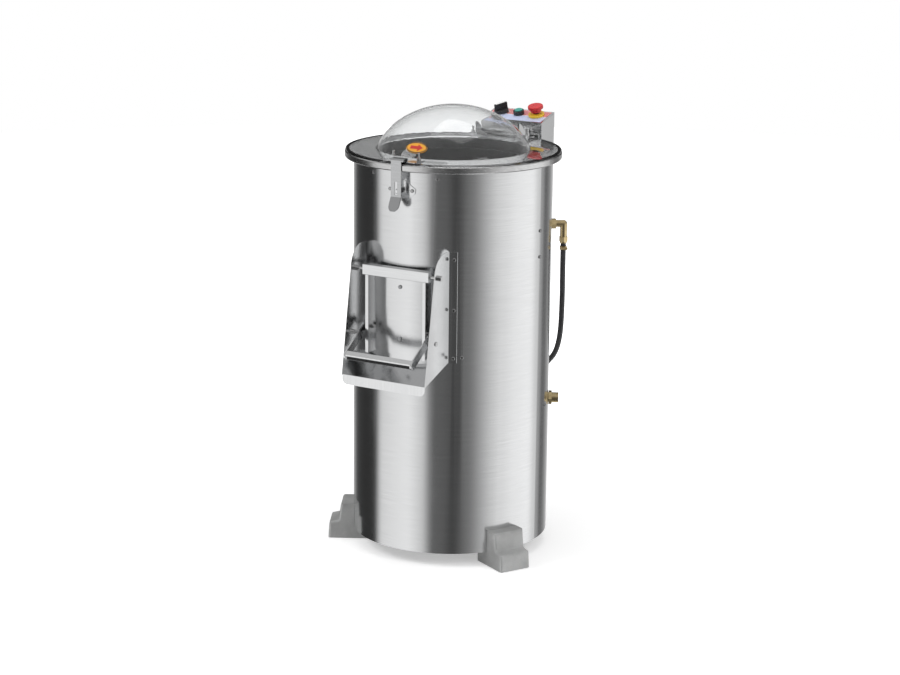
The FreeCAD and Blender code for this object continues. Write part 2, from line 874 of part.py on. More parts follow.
def make_hasp():
    """The strap with its slot, knuckle and turned-out finger tab."""
    half = hasp_width / 2
    back = hasp_face_y
    front = back - hasp_sheet
    strap = block(-half, half, front, back, hasp_bottom, hasp_axis_z)
    tab_outline = [
        (back, hasp_bottom),
        (front, hasp_bottom),
        (front - 5, hasp_bottom - 10),
        (front - 16, hasp_bottom - 33),
        (front - 14.4, hasp_bottom - 33.8),
        (back - 4, hasp_bottom - 11),
    ]
    tab = side_plate(tab_outline, -half, half)
    round_cut = front_plate(
        [(-half - 1, hasp_bottom - 40), (half + 1, hasp_bottom - 40), (half + 1, hasp_bottom - 21),
         (-half - 1, hasp_bottom - 21)],
        front - 30,
        back + 5,
    )
    tip_centre = Vector(0, front - 30, hasp_bottom - 20)
    round_keep = rod(half, tip_centre, tip_centre + Vector(0, 40, 0))
    tab = tab.cut(round_cut.cut(round_keep))
    reach = Vector(half, 0, 0)
    knuckle = rod(hasp_knuckle_radius, hasp_axis - reach, hasp_axis + reach)
    slot_half = hasp_slot_width / 2
    slot = block(-slot_half, slot_half, front - 1, back + 1, hasp_slot_bottom, hasp_slot_top)
    bore = rod(hasp_pin_radius + running_gap, hasp_axis - reach * 1.2, hasp_axis + reach * 1.2)
    save("hasp", cut_all(fused([strap, tab, knuckle]), [slot, bore]))


def make_hasp_bracket():
    """The plate on the lid's front edge that carries the hasp's pin."""
    plate = block(-lid_plate_half, lid_plate_half, leaf_y, -214, lid_top, lid_top + lid_plate_thickness)
    leaf = block(-leaf_half_width, leaf_half_width, leaf_y, leaf_y + 2, lid_top, leaf_top)
    ears = []
    for side in (-1, 1):
        inner = side * hasp_ear_inner
        outer = side * (hasp_ear_inner + hasp_ear_width)
        start = Vector(min(inner, outer), hasp_axis_y, hasp_axis_z)
        knuckle = rod(hasp_knuckle_radius, start, start + Vector(hasp_ear_width, 0, 0))
        arm = block(
            min(inner, outer), max(inner, outer), hasp_axis_y, leaf_y + 1, hasp_axis_z - hasp_arm_half,
            hasp_axis_z + hasp_arm_half,
        )
        ears += [knuckle, arm]
    body = fused([plate, leaf] + ears)
    reach = Vector(hasp_ear_inner + hasp_ear_width + 1, 0, 0)
    holes = [rod(hasp_pin_radius + hole_gap, hasp_axis - reach, hasp_axis + reach)]
    holes += [lid_bolt_hole(x, lid_bolt_y) for x in (-lid_bolt_x, lid_bolt_x)]
    pin_end = Vector(hasp_ear_inner + hasp_ear_width, 0, 0)
    pin = rod(hasp_pin_radius, hasp_axis - pin_end, hasp_axis + pin_end)
    save_group("hasp_bracket", [cut_all(body, holes), pin])


# Lid
lid_bolt_radius = 3.0
lid_hinge_bolt_y = 240.0
lid_arm_bolt_x = (-80.0, 80.0)


def lid_bolt_hole(x, y):
    """The clearance hole of a bolt through the lid."""
    return rod(lid_bolt_radius + hole_gap, Vector(x, y, lid_bottom - 5), Vector(x, y, lid_top + 20))


dome_half_height = dome_height + dome_cut
dome_half_width = dome_radius / math.sqrt(1 - (dome_cut / dome_half_height) ** 2)
dome_centre_z = lid_top - dome_cut
dome_steps = 16
lid_edge_round = 1.2


def dome_curve(inset, low):
    """The dome's section from its crown down to the level low, drawn in by inset."""
    half_width = dome_half_width - inset
    half_height = dome_half_height - inset
    last = math.acos((low - dome_centre_z) / half_height)
    angles = [last * k / dome_steps for k in range(dome_steps + 1)]
    points = [
        Vector(half_width * math.sin(angle), 0, dome_centre_z + half_height * math.cos(angle))
        for angle in angles
    ]
    curve = Part.BSplineCurve()
    curve.interpolate(points)
    return curve.toShape(), points[0], points[-1]


def closed_turn(curves, points_run):
    """A solid turned from curves joined by a run of straight edges."""
    lines = [Part.makeLine(a, b) for a, b in zip(points_run, points_run[1:])]
    wire = Part.Wire(Part.__sortEdges__(curves + lines))
    return outward(Part.Face(wire).revolve(ORIGIN, AXIS_Z, 360))


def dome_solid(inset):
    """The dome's full volume, drawn in by inset."""
    curve, crown, foot = dome_curve(inset, lid_bottom)
    return closed_turn([curve], [foot, Vector(0, 0, lid_bottom), crown])


def make_lid():
    """The clear lid: a flat flange with a moulded dome over the drum's mouth."""
    outer, outer_crown, outer_foot = dome_curve(0.0, lid_top)
    inner, inner_crown, inner_foot = dome_curve(lid_sheet, lid_bottom)
    rim = [
        outer_foot,
        Vector(lid_radius - lid_edge_round, 0, lid_top),
        Vector(lid_radius, 0, lid_top - lid_edge_round),
        Vector(lid_radius, 0, lid_bottom),
        inner_foot,
    ]
    lid = closed_turn([outer, inner, Part.makeLine(inner_crown, outer_crown)], rim)
    holes = [lid_bolt_hole(x, lid_bolt_y) for x in (-lid_bolt_x, lid_bolt_x)]
    holes += [lid_bolt_hole(x, lid_hinge_bolt_y) for x in lid_arm_bolt_x]
    save("lid", cut_all(lid, holes))


def make_lid_gasket():
    """The seal under the lid's outer edge."""
    outer = lid_radius - 2
    save("lid_gasket", ring(outer, outer - lid_gasket_width, lid_bottom - lid_gasket_thickness, lid_bottom))


badge_width = 60.0
badge_height = 30.0
badge_thickness = 0.6
badge_level = 24.0


def make_badge():
    """The oval badge on the dome's front, which shows the way that the disc turns."""
    shell = dome_solid(-badge_thickness - 0.05).cut(dome_solid(-0.05))
    level = badge_level + dome_cut
    radius = dome_half_width * math.sqrt(1 - (level / dome_half_height) ** 2)
    slope = Vector(0, -radius / dome_half_width ** 2, level / dome_half_height ** 2).normalize()
    oval = Part.Ellipse(ORIGIN, badge_width / 2, badge_height / 2).toShape()
    prism = Part.Face(Part.Wire(oval)).extrude(Vector(0, 0, 30))
    prism.Placement = FreeCAD.Placement(
        Vector(0, -radius, lid_top + badge_level) - slope * 15, FreeCAD.Rotation(AXIS_Z, slope)
    )
    save("direction_badge", shell.common(prism))


def make_sensor_plate():
    """The grey plate under the lid's front edge that the lid switch feels."""
    plate = block(46, 104, -236, -200, lid_bottom - 0.9, lid_bottom)
    corners = [edge for edge in plate.Edges if edge.BoundBox.ZLength > 0.5]
    save("lid_sensor_plate", plate.makeFillet(8.0, corners))


def lid_arm(side):
    """One lid arm: a foot plate on the lid and an upright lug back to the hinge pin."""
    x0 = side * lid_arm_x - lid_arm_sheet / 2
    x1 = x0 + lid_arm_sheet
    base = lid_top + 2.5
    outline = [
        (224, base - 0.5),
        (224, lid_top + 36),
        (232, lid_top + 36),
        (250, lid_hinge_z + 9),
        (lid_hinge_y, lid_hinge_z + 9),
        (lid_hinge_y, lid_hinge_z - 6),
        (262, base - 0.5),
    ]
    lug = side_plate(outline, x0, x1)
    eye = rod(9.0, Vector(x0, lid_hinge_y, lid_hinge_z), Vector(x1, lid_hinge_y, lid_hinge_z))
    foot_from = min(x0, side * 92.0)
    foot_to = max(x1, side * 92.0)
    foot = block(foot_from, foot_to, 222, 256, lid_top, base)
    arm = fused([lug, eye, foot])
    bore = rod(
        lid_hinge_pin_radius + running_gap, Vector(x0 - 1, lid_hinge_y, lid_hinge_z),
        Vector(x1 + 1, lid_hinge_y, lid_hinge_z),
    )
    return cut_all(arm, [bore, lid_bolt_hole(side * 80.0, lid_hinge_bolt_y)])


def make_lid_arms():
    save_group("lid_arms", [lid_arm(-1), lid_arm(1)])


def lid_bolt(x, y, plate_top):
    """A bolt up through the lid, with a nut and a stud end above the plate."""
    seat = Vector(x, y, lid_bottom - 0.1)
    length = plate_top + 19 - seat.z
    head = rod(5.0, seat - Vector(0, 0, 0.9), seat)
    shank = rod(lid_bolt_radius, seat, seat + Vector(0, 0, length))
    top = hexagon(10.0, 7.0, Vector(x, y, plate_top + 0.1), AXIS_Z)
    return fused([head, shank, top])


def make_lid_bolts():
    front_top = lid_top + lid_plate_thickness
    back_top = lid_top + 2.5
    bolts = [lid_bolt(x, lid_bolt_y, front_top) for x in (-lid_bolt_x, lid_bolt_x)]
    bolts += [lid_bolt(x, lid_hinge_bolt_y, back_top) for x in lid_arm_bolt_x]
    save_group("lid_bolts", bolts)


hinge_cheek_x = 67.0
hinge_cheek_width = 4.0
hinge_cheek_rise = 4.0
hinge_plate_half = lid_arm_x + 18.0


def make_lid_hinge_bracket():
    """The bracket on the control box that holds the lid's hinge pin."""
    back = box_front_y
    front = back - 3.0
    low = lid_hinge_z - 20
    half = hinge_plate_half
    plate = block(-half, half, front, back, low, lid_hinge_z + hinge_cheek_rise)
    cheeks = []
    for side in (-1, 1):
        x0 = side * hinge_cheek_x - hinge_cheek_width / 2
        start = Vector(x0, lid_hinge_y, lid_hinge_z)
        cheeks.append(rod(8.0, start, start + Vector(hinge_cheek_width, 0, 0)))
        cheek_top = lid_hinge_z + hinge_cheek_rise
        cheeks.append(
            block(x0, x0 + hinge_cheek_width, lid_hinge_y, back - 1, lid_hinge_z - 8, cheek_top)
        )
    body = fused([plate] + cheeks)
    reach = Vector(hinge_cheek_x + 10, 0, 0)
    centre = Vector(0, lid_hinge_y, lid_hinge_z)
    body = body.cut(rod(lid_hinge_pin_radius + hole_gap, centre - reach, centre + reach))
    pin_end = Vector(hinge_cheek_x + hinge_cheek_width / 2 + 4, 0, 0)
    save_group("lid_hinge_bracket", [body, rod(lid_hinge_pin_radius, centre - pin_end, centre + pin_end)])


# Control box
control_up = Vector(0, -math.sin(math.radians(box_slope)), math.cos(math.radians(box_slope)))
hood_sheet = 1.5


def panel_height(y):
    """The level of the sloping panel's upper face at y."""
    return box_front_top + (y - box_front_y) * slope_rise


def control_point(column, lift=0.0):
    """A point over the panel for the control in the given column, -1, 0 or 1."""
    base = Vector(column * control_pitch, control_row_y, panel_height(control_row_y))
    return base + control_up * lift


def control_holes():
    """The bores in the panel for the three controls."""
    return [
        rod(control_bore, control_point(column, -20), control_point(column, 20)) for column in (-1, 0, 1)
    ]


control_bore = 11.2
box_wall = 1.5


def make_control_box():
    """The box body, open at the top under its hood."""
    top_front = box_front_top - hood_sheet - 0.5
    rise = box_depth * slope_rise
    outline = [
        (box_front_y, box_bottom),
        (box_front_y, top_front),
        (box_back_y, top_front + rise),
        (box_back_y, box_bottom),
    ]
    outer = side_plate(outline, -box_half, box_half)
    inner = side_plate(
        [
            (box_front_y + box_wall, box_bottom + box_wall),
            (box_front_y + box_wall, top_front + 30),
            (box_back_y - box_wall, top_front + 60),
            (box_back_y - box_wall, box_bottom + box_wall),
        ],
        -box_half + box_wall,
        box_half - box_wall,
    )
    through = Vector(0, 0, 5.0)
    gland_centre = Vector(gland_x, gland_y, box_bottom)
    gland = rod(gland_radius + hole_gap, gland_centre - through, gland_centre + through)
    save("control_box", outer.cut(inner).cut(gland))


gland_radius = 8.0
gland_x = -50.0
gland_y = box_front_y + box_depth / 2


def make_hood():
    """The folded hood of the box: the sloping panel with its front lip."""
    lip_y = box_front_y - hood_sheet
    front_top = box_front_top - hood_sheet * slope_rise
    back_top = panel_height(box_back_y)
    outline = [
        (lip_y, box_front_top - box_lip),
        (lip_y, front_top),
        (box_back_y, back_top),
        (box_back_y, back_top - hood_sheet),
        (box_front_y - 0.1, box_front_top - hood_sheet - 0.1),
        (box_front_y - 0.1, box_front_top - box_lip),
    ]
    hood = side_plate(outline, -box_half, box_half)
    save("control_hood", cut_all(hood, control_holes()))


label_thickness = 0.4
label_border = 5.0


def make_panel_label():
    """The thin two-colour plate on the panel, without any words."""
    y0 = box_front_y + 1
    y1 = box_back_y - 3
    rise0 = panel_height(y0) + 0.05
    rise1 = panel_height(y1) + 0.05
    outline = [(y0, rise0), (y1, rise1), (y1, rise1 + label_thickness), (y0, rise0 + label_thickness)]
    plate = side_plate(outline, -box_half + label_border, box_half - label_border)
    save("panel_label", cut_all(plate, control_holes()))


timer_skirt_radius = 19.0
timer_ring_radius = 21.0
timer_under_radius = 19.0
timer_grip_half = 4.5
timer_grip_height = 23.0
bezel_radius = 14.5
button_radius = 10.5
collar_radius = 21.0
mushroom_radius = 20.0
panel_skin = label_thickness + 0.1


def make_timer():
    """The timer: a bright ring, a body through the panel and a knob with a bar grip."""
    base = control_point(-1, panel_skin)
    ring_top = control_point(-1, panel_skin + 2.5)
    deep = control_point(-1, -42)
    body = rod(timer_ring_radius, base, ring_top).fuse(rod(control_bore - 0.3, deep, base))
    under = rod(timer_under_radius, deep, control_point(-1, -6))
    body = body.fuse(under)
    spindle = rod(3.1 + running_gap, deep, control_point(-1, 10))
    save("timer_body", body.removeSplitter().cut(spindle))
    skirt = rod(timer_skirt_radius, control_point(-1, panel_skin + 3.0), control_point(-1, panel_skin + 10.0))
    edges = [edge for edge in skirt.Edges if edge.Length > 100]
    skirt = skirt.makeFillet(1.5, edges[:1])
    half_length = timer_skirt_radius - 1.5
    grip = block(-timer_grip_half, timer_grip_half, -half_length, half_length, 0, timer_grip_height)
    tops = [edge for edge in grip.Edges if edge.BoundBox.ZMin > timer_grip_height - 1]
    grip = grip.makeFillet(2.5, tops)
    grip.rotate(ORIGIN, AXIS_Z, -30)
    grip.Placement = FreeCAD.Placement(
        control_point(-1, panel_skin + 4.0), FreeCAD.Rotation(AXIS_Z, control_up)
    ).multiply(grip.Placement)
    stem = rod(3.1, control_point(-1, -30), control_point(-1, panel_skin + 4))
    save("timer_knob", fused([skirt, grip, stem]))


button_travel = 4.0


def make_start_button():
    """The start button: a ring on the panel, its sprung plunger and the contact block below."""
    base = control_point(0, panel_skin)
    bezel = rod(bezel_radius, base, control_point(0, panel_skin + 11))
    top_edges = [edge for edge in bezel.Edges if edge.Length > 80]
    bezel = bezel.makeFillet(1.5, top_edges)
    barrel = rod(control_bore - 0.3, control_point(0, -22), base)
    bore = rod(button_radius + running_gap, control_point(0, -6), control_point(0, 30))
    stem_bore = rod(3.0 + running_gap, control_point(0, -30), control_point(0, 30))
    save("button_bezel", cut_all(bezel.fuse(barrel), [bore, stem_bore]))
    cap = rod(button_radius, control_point(0, panel_skin + 4), control_point(0, panel_skin + 13.5))
    cap_edges = [edge for edge in cap.Edges if edge.Length > 50]
    cap = cap.makeFillet(1.0, cap_edges)
    stem = rod(3.0, control_point(0, -20), control_point(0, panel_skin + 5))
    save("start_button", fused([cap, stem]))


def contact_block(column):
    """A switch block behind the panel."""
    half_width = 15.0
    half_depth = 16.0
    height = 30.0
    shape = block(-half_width, half_width, -half_depth, half_depth, -height, 0)
    shape.Placement = FreeCAD.Placement(control_point(column, -26.5), FreeCAD.Rotation(AXIS_Z, control_up))
    return shape


estop_travel = 4.0


def make_stop_button():
    """The emergency stop: a collar on the panel, a stem that pushes and a head that twists."""
    base = control_point(1, panel_skin)
    collar = rod(collar_radius, base, control_point(1, panel_skin + 7))
    edges = [edge for edge in collar.Edges if edge.Length > 120]
    collar = collar.makeFillet(1.5, edges)
    barrel = rod(control_bore - 0.3, control_point(1, -22), base)
    bore = rod(8.0 + running_gap, control_point(1, -30), control_point(1, 30))
    save("stop_collar", collar.fuse(barrel).cut(bore))
    stem = rod(8.0, control_point(1, -22), control_point(1, panel_skin + 16))
    save("stop_stem", stem.removeSplitter())
    low = panel_skin + 12.0
    waist = rod(14.0, control_point(1, low), control_point(1, low + 7))
    cone = Part.makeCone(14.0, mushroom_radius, 4.0, control_point(1, low + 5), control_up)
    cap = rod(mushroom_radius, control_point(1, low + 9), control_point(1, low + 17))
    head = fused([waist, cone, cap])
    rims = [
        edge
        for edge in head.Edges
        if edge.Length > 120 and (edge.CenterOfMass - control_point(1, low + 17)).Length < 0.5
    ]
    head = head.makeFillet(3.0, rims)
    socket = rod(8.0 + running_gap, control_point(1, low - 1), control_point(1, panel_skin + 16 + seat_gap))
    save("stop_button", head.cut(socket))


switchgear_rise = 55.0
contactor_width = 48.0
contactor_depth = 55.0
contactor_height = 75.0
terminal_depth = 26.0
terminal_height = 24.0


def make_switchgear():
    """The contact blocks behind the buttons, and the contactor and terminal row on the back wall."""
    back = box_back_y - box_wall
    low = box_bottom + switchgear_rise
    reach = box_half - 18.0
    contactor_top = low + contactor_height
    contactor = block(-reach, -reach + contactor_width, back - contactor_depth, back, low, contactor_top)
    terminals = block(0, reach, back - terminal_depth, back, low, low + terminal_height)
    save_group("switchgear", [contact_block(0), contact_block(1), contactor, terminals])


def make_gland():
    """The cable gland in the box's floor."""
    gland_top = box_bottom + box_wall
    at = Vector(gland_x, gland_y, 0)
    stem = rod(gland_radius, at + Vector(0, 0, box_bottom - 8), at + Vector(0, 0, gland_top + 8))
    hexes = hexagon(20.0, 6.0, at + Vector(0, 0, box_bottom - 8), AXIS_Z)
    cap = rod(8.5, at + Vector(0, 0, box_bottom - 20), at + Vector(0, 0, box_bottom - 8))
    lock_nut = hexagon(20.0, 5.0, at + Vector(0, 0, gland_top + 0.2), AXIS_Z)
    hexes.translate(Vector(0, 0, 1.9))
    gland = fused([stem, hexes, cap, lock_nut])
    bore = rod(4.5, at + Vector(0, 0, box_bottom - 25), at + Vector(0, 0, gland_top + 20))
    save("cable_gland", gland.cut(bore))


spacer_width = 26.0
spacer_wall = 2.0
spacer_low = 862.0
spacer_high = 980.0
spacer_x = 52.0


def make_box_spacers():
    """Two folded channels that hold the box off the casing."""
    half = spacer_width / 2
    spacers = []
    for side in (-1, 1):
        x = side * spacer_x
        tube = block(x - half, x + half, 200, box_front_y, spacer_low, spacer_high)
        hollow = block(
            x - half + spacer_wall, x + half - spacer_wall, 190, box_front_y - spacer_wall, spacer_low - 1,
            spacer_high + 1,
        )
        casing_space = rod(
            casing_radius + hole_gap, Vector(0, 0, spacer_low - 1), Vector(0, 0, spacer_high + 1)
        )
        spacers.append(tube.cut(hollow).cut(casing_space))
    save_group("box_spacers", spacers)


# Water
elbow_tail_radius = 8.0
elbow_hex = 24.0
elbow_body_radius = 9.0
elbow_drop_end = 772.0
barb_radius = 4.2
clamp_width = 9.0
clamp_gap = 0.2


def elbow_blank(level, reach, direction, drop):
    """A brass elbow at the front: a tail into the casing, a hexagon, a bend and a hose spigot."""
    tail_end = drum_outer_radius + 3.5
    tail = rod(elbow_tail_radius, Vector(0, -tail_end, level), Vector(0, -casing_radius - 3, level))
    nut_start = Vector(0, -casing_radius - 0.6, level)
    hexes = hexagon(elbow_hex, 12.0, nut_start, Vector(0, -1, 0))
    arm = rod(elbow_body_radius, Vector(0, -casing_radius - 8, level), Vector(0, -reach, level))
    corner = Part.makeSphere(elbow_body_radius, Vector(0, -reach, level))
    way = Vector(0, 0, direction)
    down_start = Vector(0, -reach, level)
    down = rod(elbow_body_radius, down_start, down_start + way * (drop - 18))
    down_hex = hexagon(elbow_hex - 4, 12.0, down_start + way * (drop - 20), way)
    collar = rod(elbow_body_radius, down_start + way * (drop - 9), down_start + way * (drop - 4))
    spigot = rod(barb_radius, down_start + way * (drop - 10), down_start + way * (drop + 22))
    return fused([tail, hexes, arm, corner, down, down_hex, collar, spigot])


elbow_drop = elbow_height - elbow_drop_end
return_rise = 46.0
hose_grip = 18.0


return_reach = 283.0
return_tilt = 45.0
return_tail_end = 226.0


def return_blank():
    """The lower elbow, tilted to meet the hose; its tail ends inside the casing."""
    whole = elbow_blank(return_height, return_reach, 1, return_rise)
    whole = whole.cut(block(-20, 20, -return_tail_end, 0, return_height - 20, return_height + 20))
    whole.rotate(Vector(0, 0, return_height), AXIS_Y, -return_tilt)
    return whole


def return_way():
    """The direction in which the lower elbow's spigot points."""
    tilt = math.radians(return_tilt)
    way = Vector(-math.sin(tilt), 0, math.cos(tilt))
    return FreeCAD.Rotation(AXIS_Z, return_angle).multVec(way)


hose_seat = 4.0 - seat_gap
hose_start = around(elbow_reach, water_angle, elbow_height - elbow_drop + hose_seat)
hose_finish = around(return_reach, return_angle, return_height) + return_way() * (return_rise - hose_seat)
hose_last_run = 41.0
hose_points = [
    hose_start,
    around(elbow_reach, water_angle, 702.0),
    around(elbow_reach + 1.0, water_angle + 0.6, 626.0),
    around(elbow_reach + 1.0, water_angle + 2.8, 548.0),
    around(elbow_reach, water_angle + 7.0, 501.0),
    around(elbow_reach, water_angle + 13.6, 465.0),
    around(elbow_reach + 0.5, water_angle + 21.6, 437.0),
    hose_finish + return_way() * hose_last_run,
    hose_finish,
]
arc_share = 0.45


def hose_path(points):
    """Straight runs joined by tangent arcs; prints the least radius."""
    edges = []
    start = points[0]
    radii = []
    for before, corner, after in zip(points, points[1:], points[2:]):
        into = (corner - before)
        out = (after - corner)
        turn_angle = into.getAngle(out)
        shorter = min(into.Length, out.Length)
        cut_back = arc_share * shorter
        radii.append(cut_back / math.tan(turn_angle / 2))
        into_unit = Vector(into).normalize()
        out_unit = Vector(out).normalize()
        arc_start = corner - into_unit * cut_back
        arc_end = corner + out_unit * cut_back
        inward = (out_unit - into_unit).normalize()
        bulge = radii[-1] / math.cos(turn_angle / 2) - radii[-1]
        edges.append(Part.LineSegment(start, arc_start).toShape())
        edges.append(Part.Arc(arc_start, corner + inward * bulge, arc_end).toShape())
        start = arc_end
    edges.append(Part.LineSegment(start, points[-1]).toShape())
    print("hose bend radii", [round(radius) for radius in radii])
    return Part.Wire(edges)


def make_hose():
    """The black water hose between the two elbows."""
    path = hose_path(hose_points)
    way = hose_points[1] - hose_points[0]
    circle = Part.Wire(Part.makeCircle(hose_radius, hose_points[0], way))
    tube = path.makePipeShell([circle], True, False)
    share = tube.Volume / (math.pi * hose_radius ** 2 * path.Length)
    print("hose length", round(path.Length), "volume share", round(share, 4))
    top_bore = rod(barb_radius + hole_gap, hose_start, hose_start - AXIS_Z * (hose_grip + 9))
    low_bore = rod(barb_radius + hole_gap, hose_finish, hose_finish + return_way() * (hose_grip + 9))
    save("water_hose", tube.cut(top_bore).cut(low_bore))


def clamp_at(point, way, angle):
    """A band clamp round the hose with its worm screw to one side."""
    inner = hose_radius + 0.9
    start = point + way * 8.0
    band = rod(inner + 1.2, start, start + way * clamp_width)
    band = band.cut(rod(inner, start - way, start + way * (clamp_width + 1)))
    side = around(1, angle - 90, 0)
    middle = start + way * (clamp_width / 2) + side * (inner + 4.5)
    screw_way = around(1, angle, 0)
    worm = rod(3.6, middle - screw_way * 7, middle + screw_way * 9)
    space = rod(inner, start - way * 20, start + way * 30)
    return band.fuse(worm.cut(space)).removeSplitter()


def make_hose_fittings():
    """The two brass elbows and the band clamps on them."""
    upper = turn(elbow_blank(elbow_height, elbow_reach, -1, elbow_drop), water_angle)
    top = clamp_at(hose_start, AXIS_Z * -1, water_angle)
    low = clamp_at(hose_finish, return_way(), return_angle)
    save_group("hose_fittings", [upper, turn(return_blank(), return_angle), top, low])


nipple_length = 26.0
nipple_bore = 8.5
nipple_seat = 0.8
nipple_step = 0.6
nipple_hex = 32.0
nipple_hex_height = 8.0


def make_inlet():
    """The brass inlet nipple through the casing, with its inner nut."""
    start = Vector(0, -casing_radius + 16, inlet_height)
    end = Vector(0, -casing_radius - nipple_length, inlet_height)
    seat = Vector(0, -casing_radius - nipple_seat, inlet_height)
    tail = rod(inlet_radius - nipple_step, start, seat)
    hexes = hexagon(nipple_hex, nipple_hex_height, seat, Vector(0, -1, 0))
    thread = rod(inlet_radius, seat, end)
    body = fused([tail, hexes, thread]).cut(rod(nipple_bore, start + AXIS_Y, end - AXIS_Y))
    save("inlet_nipple", turn(body.removeSplitter(), inlet_angle))


valve_half = 22.0


def make_valve():
    """The solenoid valve inside the casing: a body on the nipple with a coil above."""
    near = -casing_radius + 16.2
    low = return_height - link_radius - 4
    body = block(-valve_half, valve_half, near, near + 40, low, inlet_height + 22)
    coil = rod(18.0, Vector(0, near + 22, inlet_height + 22), Vector(0, near + 22, inlet_height + 66))
    cap = hexagon(16.0, 8.0, Vector(0, near + 22, inlet_height + 66), AXIS_Z)
    save("solenoid_valve", fused([turn(fused([body, coil, cap]), inlet_angle), link_pipe()]))


link_radius = 7.0


def link_pipe():
    """The inner pipe from the valve round the casing wall to the lower elbow's tail."""
    centre_radius = return_tail_end - link_radius - 1.0
    level = return_height
    start_angle = inlet_angle + 4.0
    start = around(centre_radius, start_angle, level)
    section = Part.Face(Part.Wire(Part.makeCircle(link_radius, start, around(1, start_angle + 90, 0))))
    sweep = return_angle + 2.0 - start_angle
    return outward(section.revolve(Vector(0, 0, level), AXIS_Z, sweep))


def make_drain():
    """The drain: down from the drum floor, round a bend and out of the back."""
    outer = drain_radius - drain_step
    inner = drain_radius - drain_wall
    collar_start = Vector(0, casing_radius + drain_collar_seat, drain_height)
    collar_end = collar_start + AXIS_Y * drain_collar_width
    collar = rod(drain_radius + drain_collar_rise, collar_start, collar_end)
    spigot = rod(drain_radius, collar_start, Vector(0, drain_end, drain_height))
    bend_top = drain_height + drain_bend
    far = drain_y + drain_bend

    def pipe(radius, extra):
        top = rod(radius, Vector(0, drain_y, bend_top), Vector(0, drain_y, drum_floor_bottom + extra))
        face = Part.Face(Part.Wire(Part.makeCircle(radius, Vector(0, drain_y, bend_top), AXIS_Z)))
        bend = face.revolve(Vector(0, far, bend_top), AXIS_X, 90)
        tail = rod(radius, Vector(0, far, drain_height), Vector(0, drain_end + extra, drain_height))
        return fused([top, bend, tail])

    flange = ring(drain_radius + 12, inner, drum_floor_bottom - 4, drum_floor_bottom, 0.0, drain_y)
    whole = fused([pipe(outer, 0.0), flange, collar, spigot])
    save("drain_pipe", whole.cut(pipe(inner, 2.0)).removeSplitter())


# Rotating disc and its drive
def make_disc():
    plate = ring(disc_radius, shaft_radius + hole_gap, disc_bottom, disc_top)
    hub = ring(30.0, shaft_radius + hole_gap, drum_floor_top + 4, disc_bottom)
    save("disc", fused([plate, hub]))


wave_count = 3
wave_start = 34.0


def make_disc_abrasive():
    """The abrasive coat on the disc, with rounded waves that lift the potatoes."""
    top = disc_top + abrasive_coat
    coat = rod(disc_radius, Vector(0, 0, disc_top), Vector(0, 0, top))
    chord = 34.0
    radius = (chord ** 2 + wave_height ** 2) / (2 * wave_height)
    wave_centre = top + wave_height - radius
    solids = [coat]
    for k in range(wave_count):
        wave = rod(radius, Vector(wave_start, 0, wave_centre), Vector(disc_radius + 5, 0, wave_centre))
        wave.rotate(ORIGIN, AXIS_Z, 360.0 / wave_count * k + 20)
        solids.append(wave.common(rod(disc_radius, Vector(0, 0, top - 0.5), Vector(0, 0, top + 20))))
    whole = fused(solids)
    save("disc_abrasive", whole.cut(rod(18.0, Vector(0, 0, 500), Vector(0, 0, 600))))


shaft_bottom = 370.0


def make_shaft():
    """The disc's upright shaft, and the domed nut that holds the disc down."""
    shaft = rod(shaft_radius, Vector(0, 0, shaft_bottom), Vector(0, 0, disc_top + 12))
    base = disc_top + 0.2
    body = rod(17.0, Vector(0, 0, base), Vector(0, 0, base + 12))
    dome = Part.makeSphere(17.0, Vector(0, 0, base + 8)).common(block(-20, 20, -20, 20, base + 11, base + 26))
    socket = rod(shaft_radius + hole_gap, Vector(0, 0, base - 1), Vector(0, 0, disc_top + 12.4))
    save_group("disc_shaft", [shaft, fused([body, dome]).cut(socket)])


def make_bearings():
    """The housing under the drum floor, and in it the two bearings and the water seal."""
    top = drum_floor_bottom
    bottom = bearing_housing_bottom
    outer = bearing_radius + bearing_housing_wall
    flange = ring(housing_flange_radius, bearing_radius, top - housing_flange_thickness, top)
    tube = ring(outer, bearing_radius, bottom, top)
    middle = ring(outer - 1, bearing_radius - 4, bottom + bearing_height, top - 8 - bearing_height)
    housing = fused([flange, tube, middle])
    holes = [rod(4.2, p + Vector(0, 0, top - 20), p + Vector(0, 0, top + 5)) for p in housing_bolt_points()]
    save("bearing_housing", cut_all(housing, holes))
    inner = shaft_radius + running_gap
    fit = bearing_radius - 0.02
    seat = top - 8
    lower = ring(fit, inner, bottom, bottom + bearing_height)
    upper = ring(fit, inner, seat - bearing_height, seat)
    seal = ring(fit, inner, seat + 0.2, drum_floor_top - 1)
    save_group("shaft_bearings", [lower, upper, seal])


def pulley(radius, bore, x):
    """A grooved pulley."""
    groove = radius - belt_thickness
    body = ring(radius, bore, pulley_bottom, pulley_top, x, 0.0)
    low = belt_bottom - 0.4
    high = belt_bottom + belt_height + 0.4
    return body.cut(ring(radius + 1, groove, low, high, x, 0.0))


def make_pulleys():
    driven = pulley(driven_pulley_radius, shaft_radius + hole_gap, 0.0)
    recess = ring(driven_pulley_radius - 20, 32.0, pulley_bottom - 1, pulley_bottom + 8)
    save("driven_pulley", driven.cut(recess))


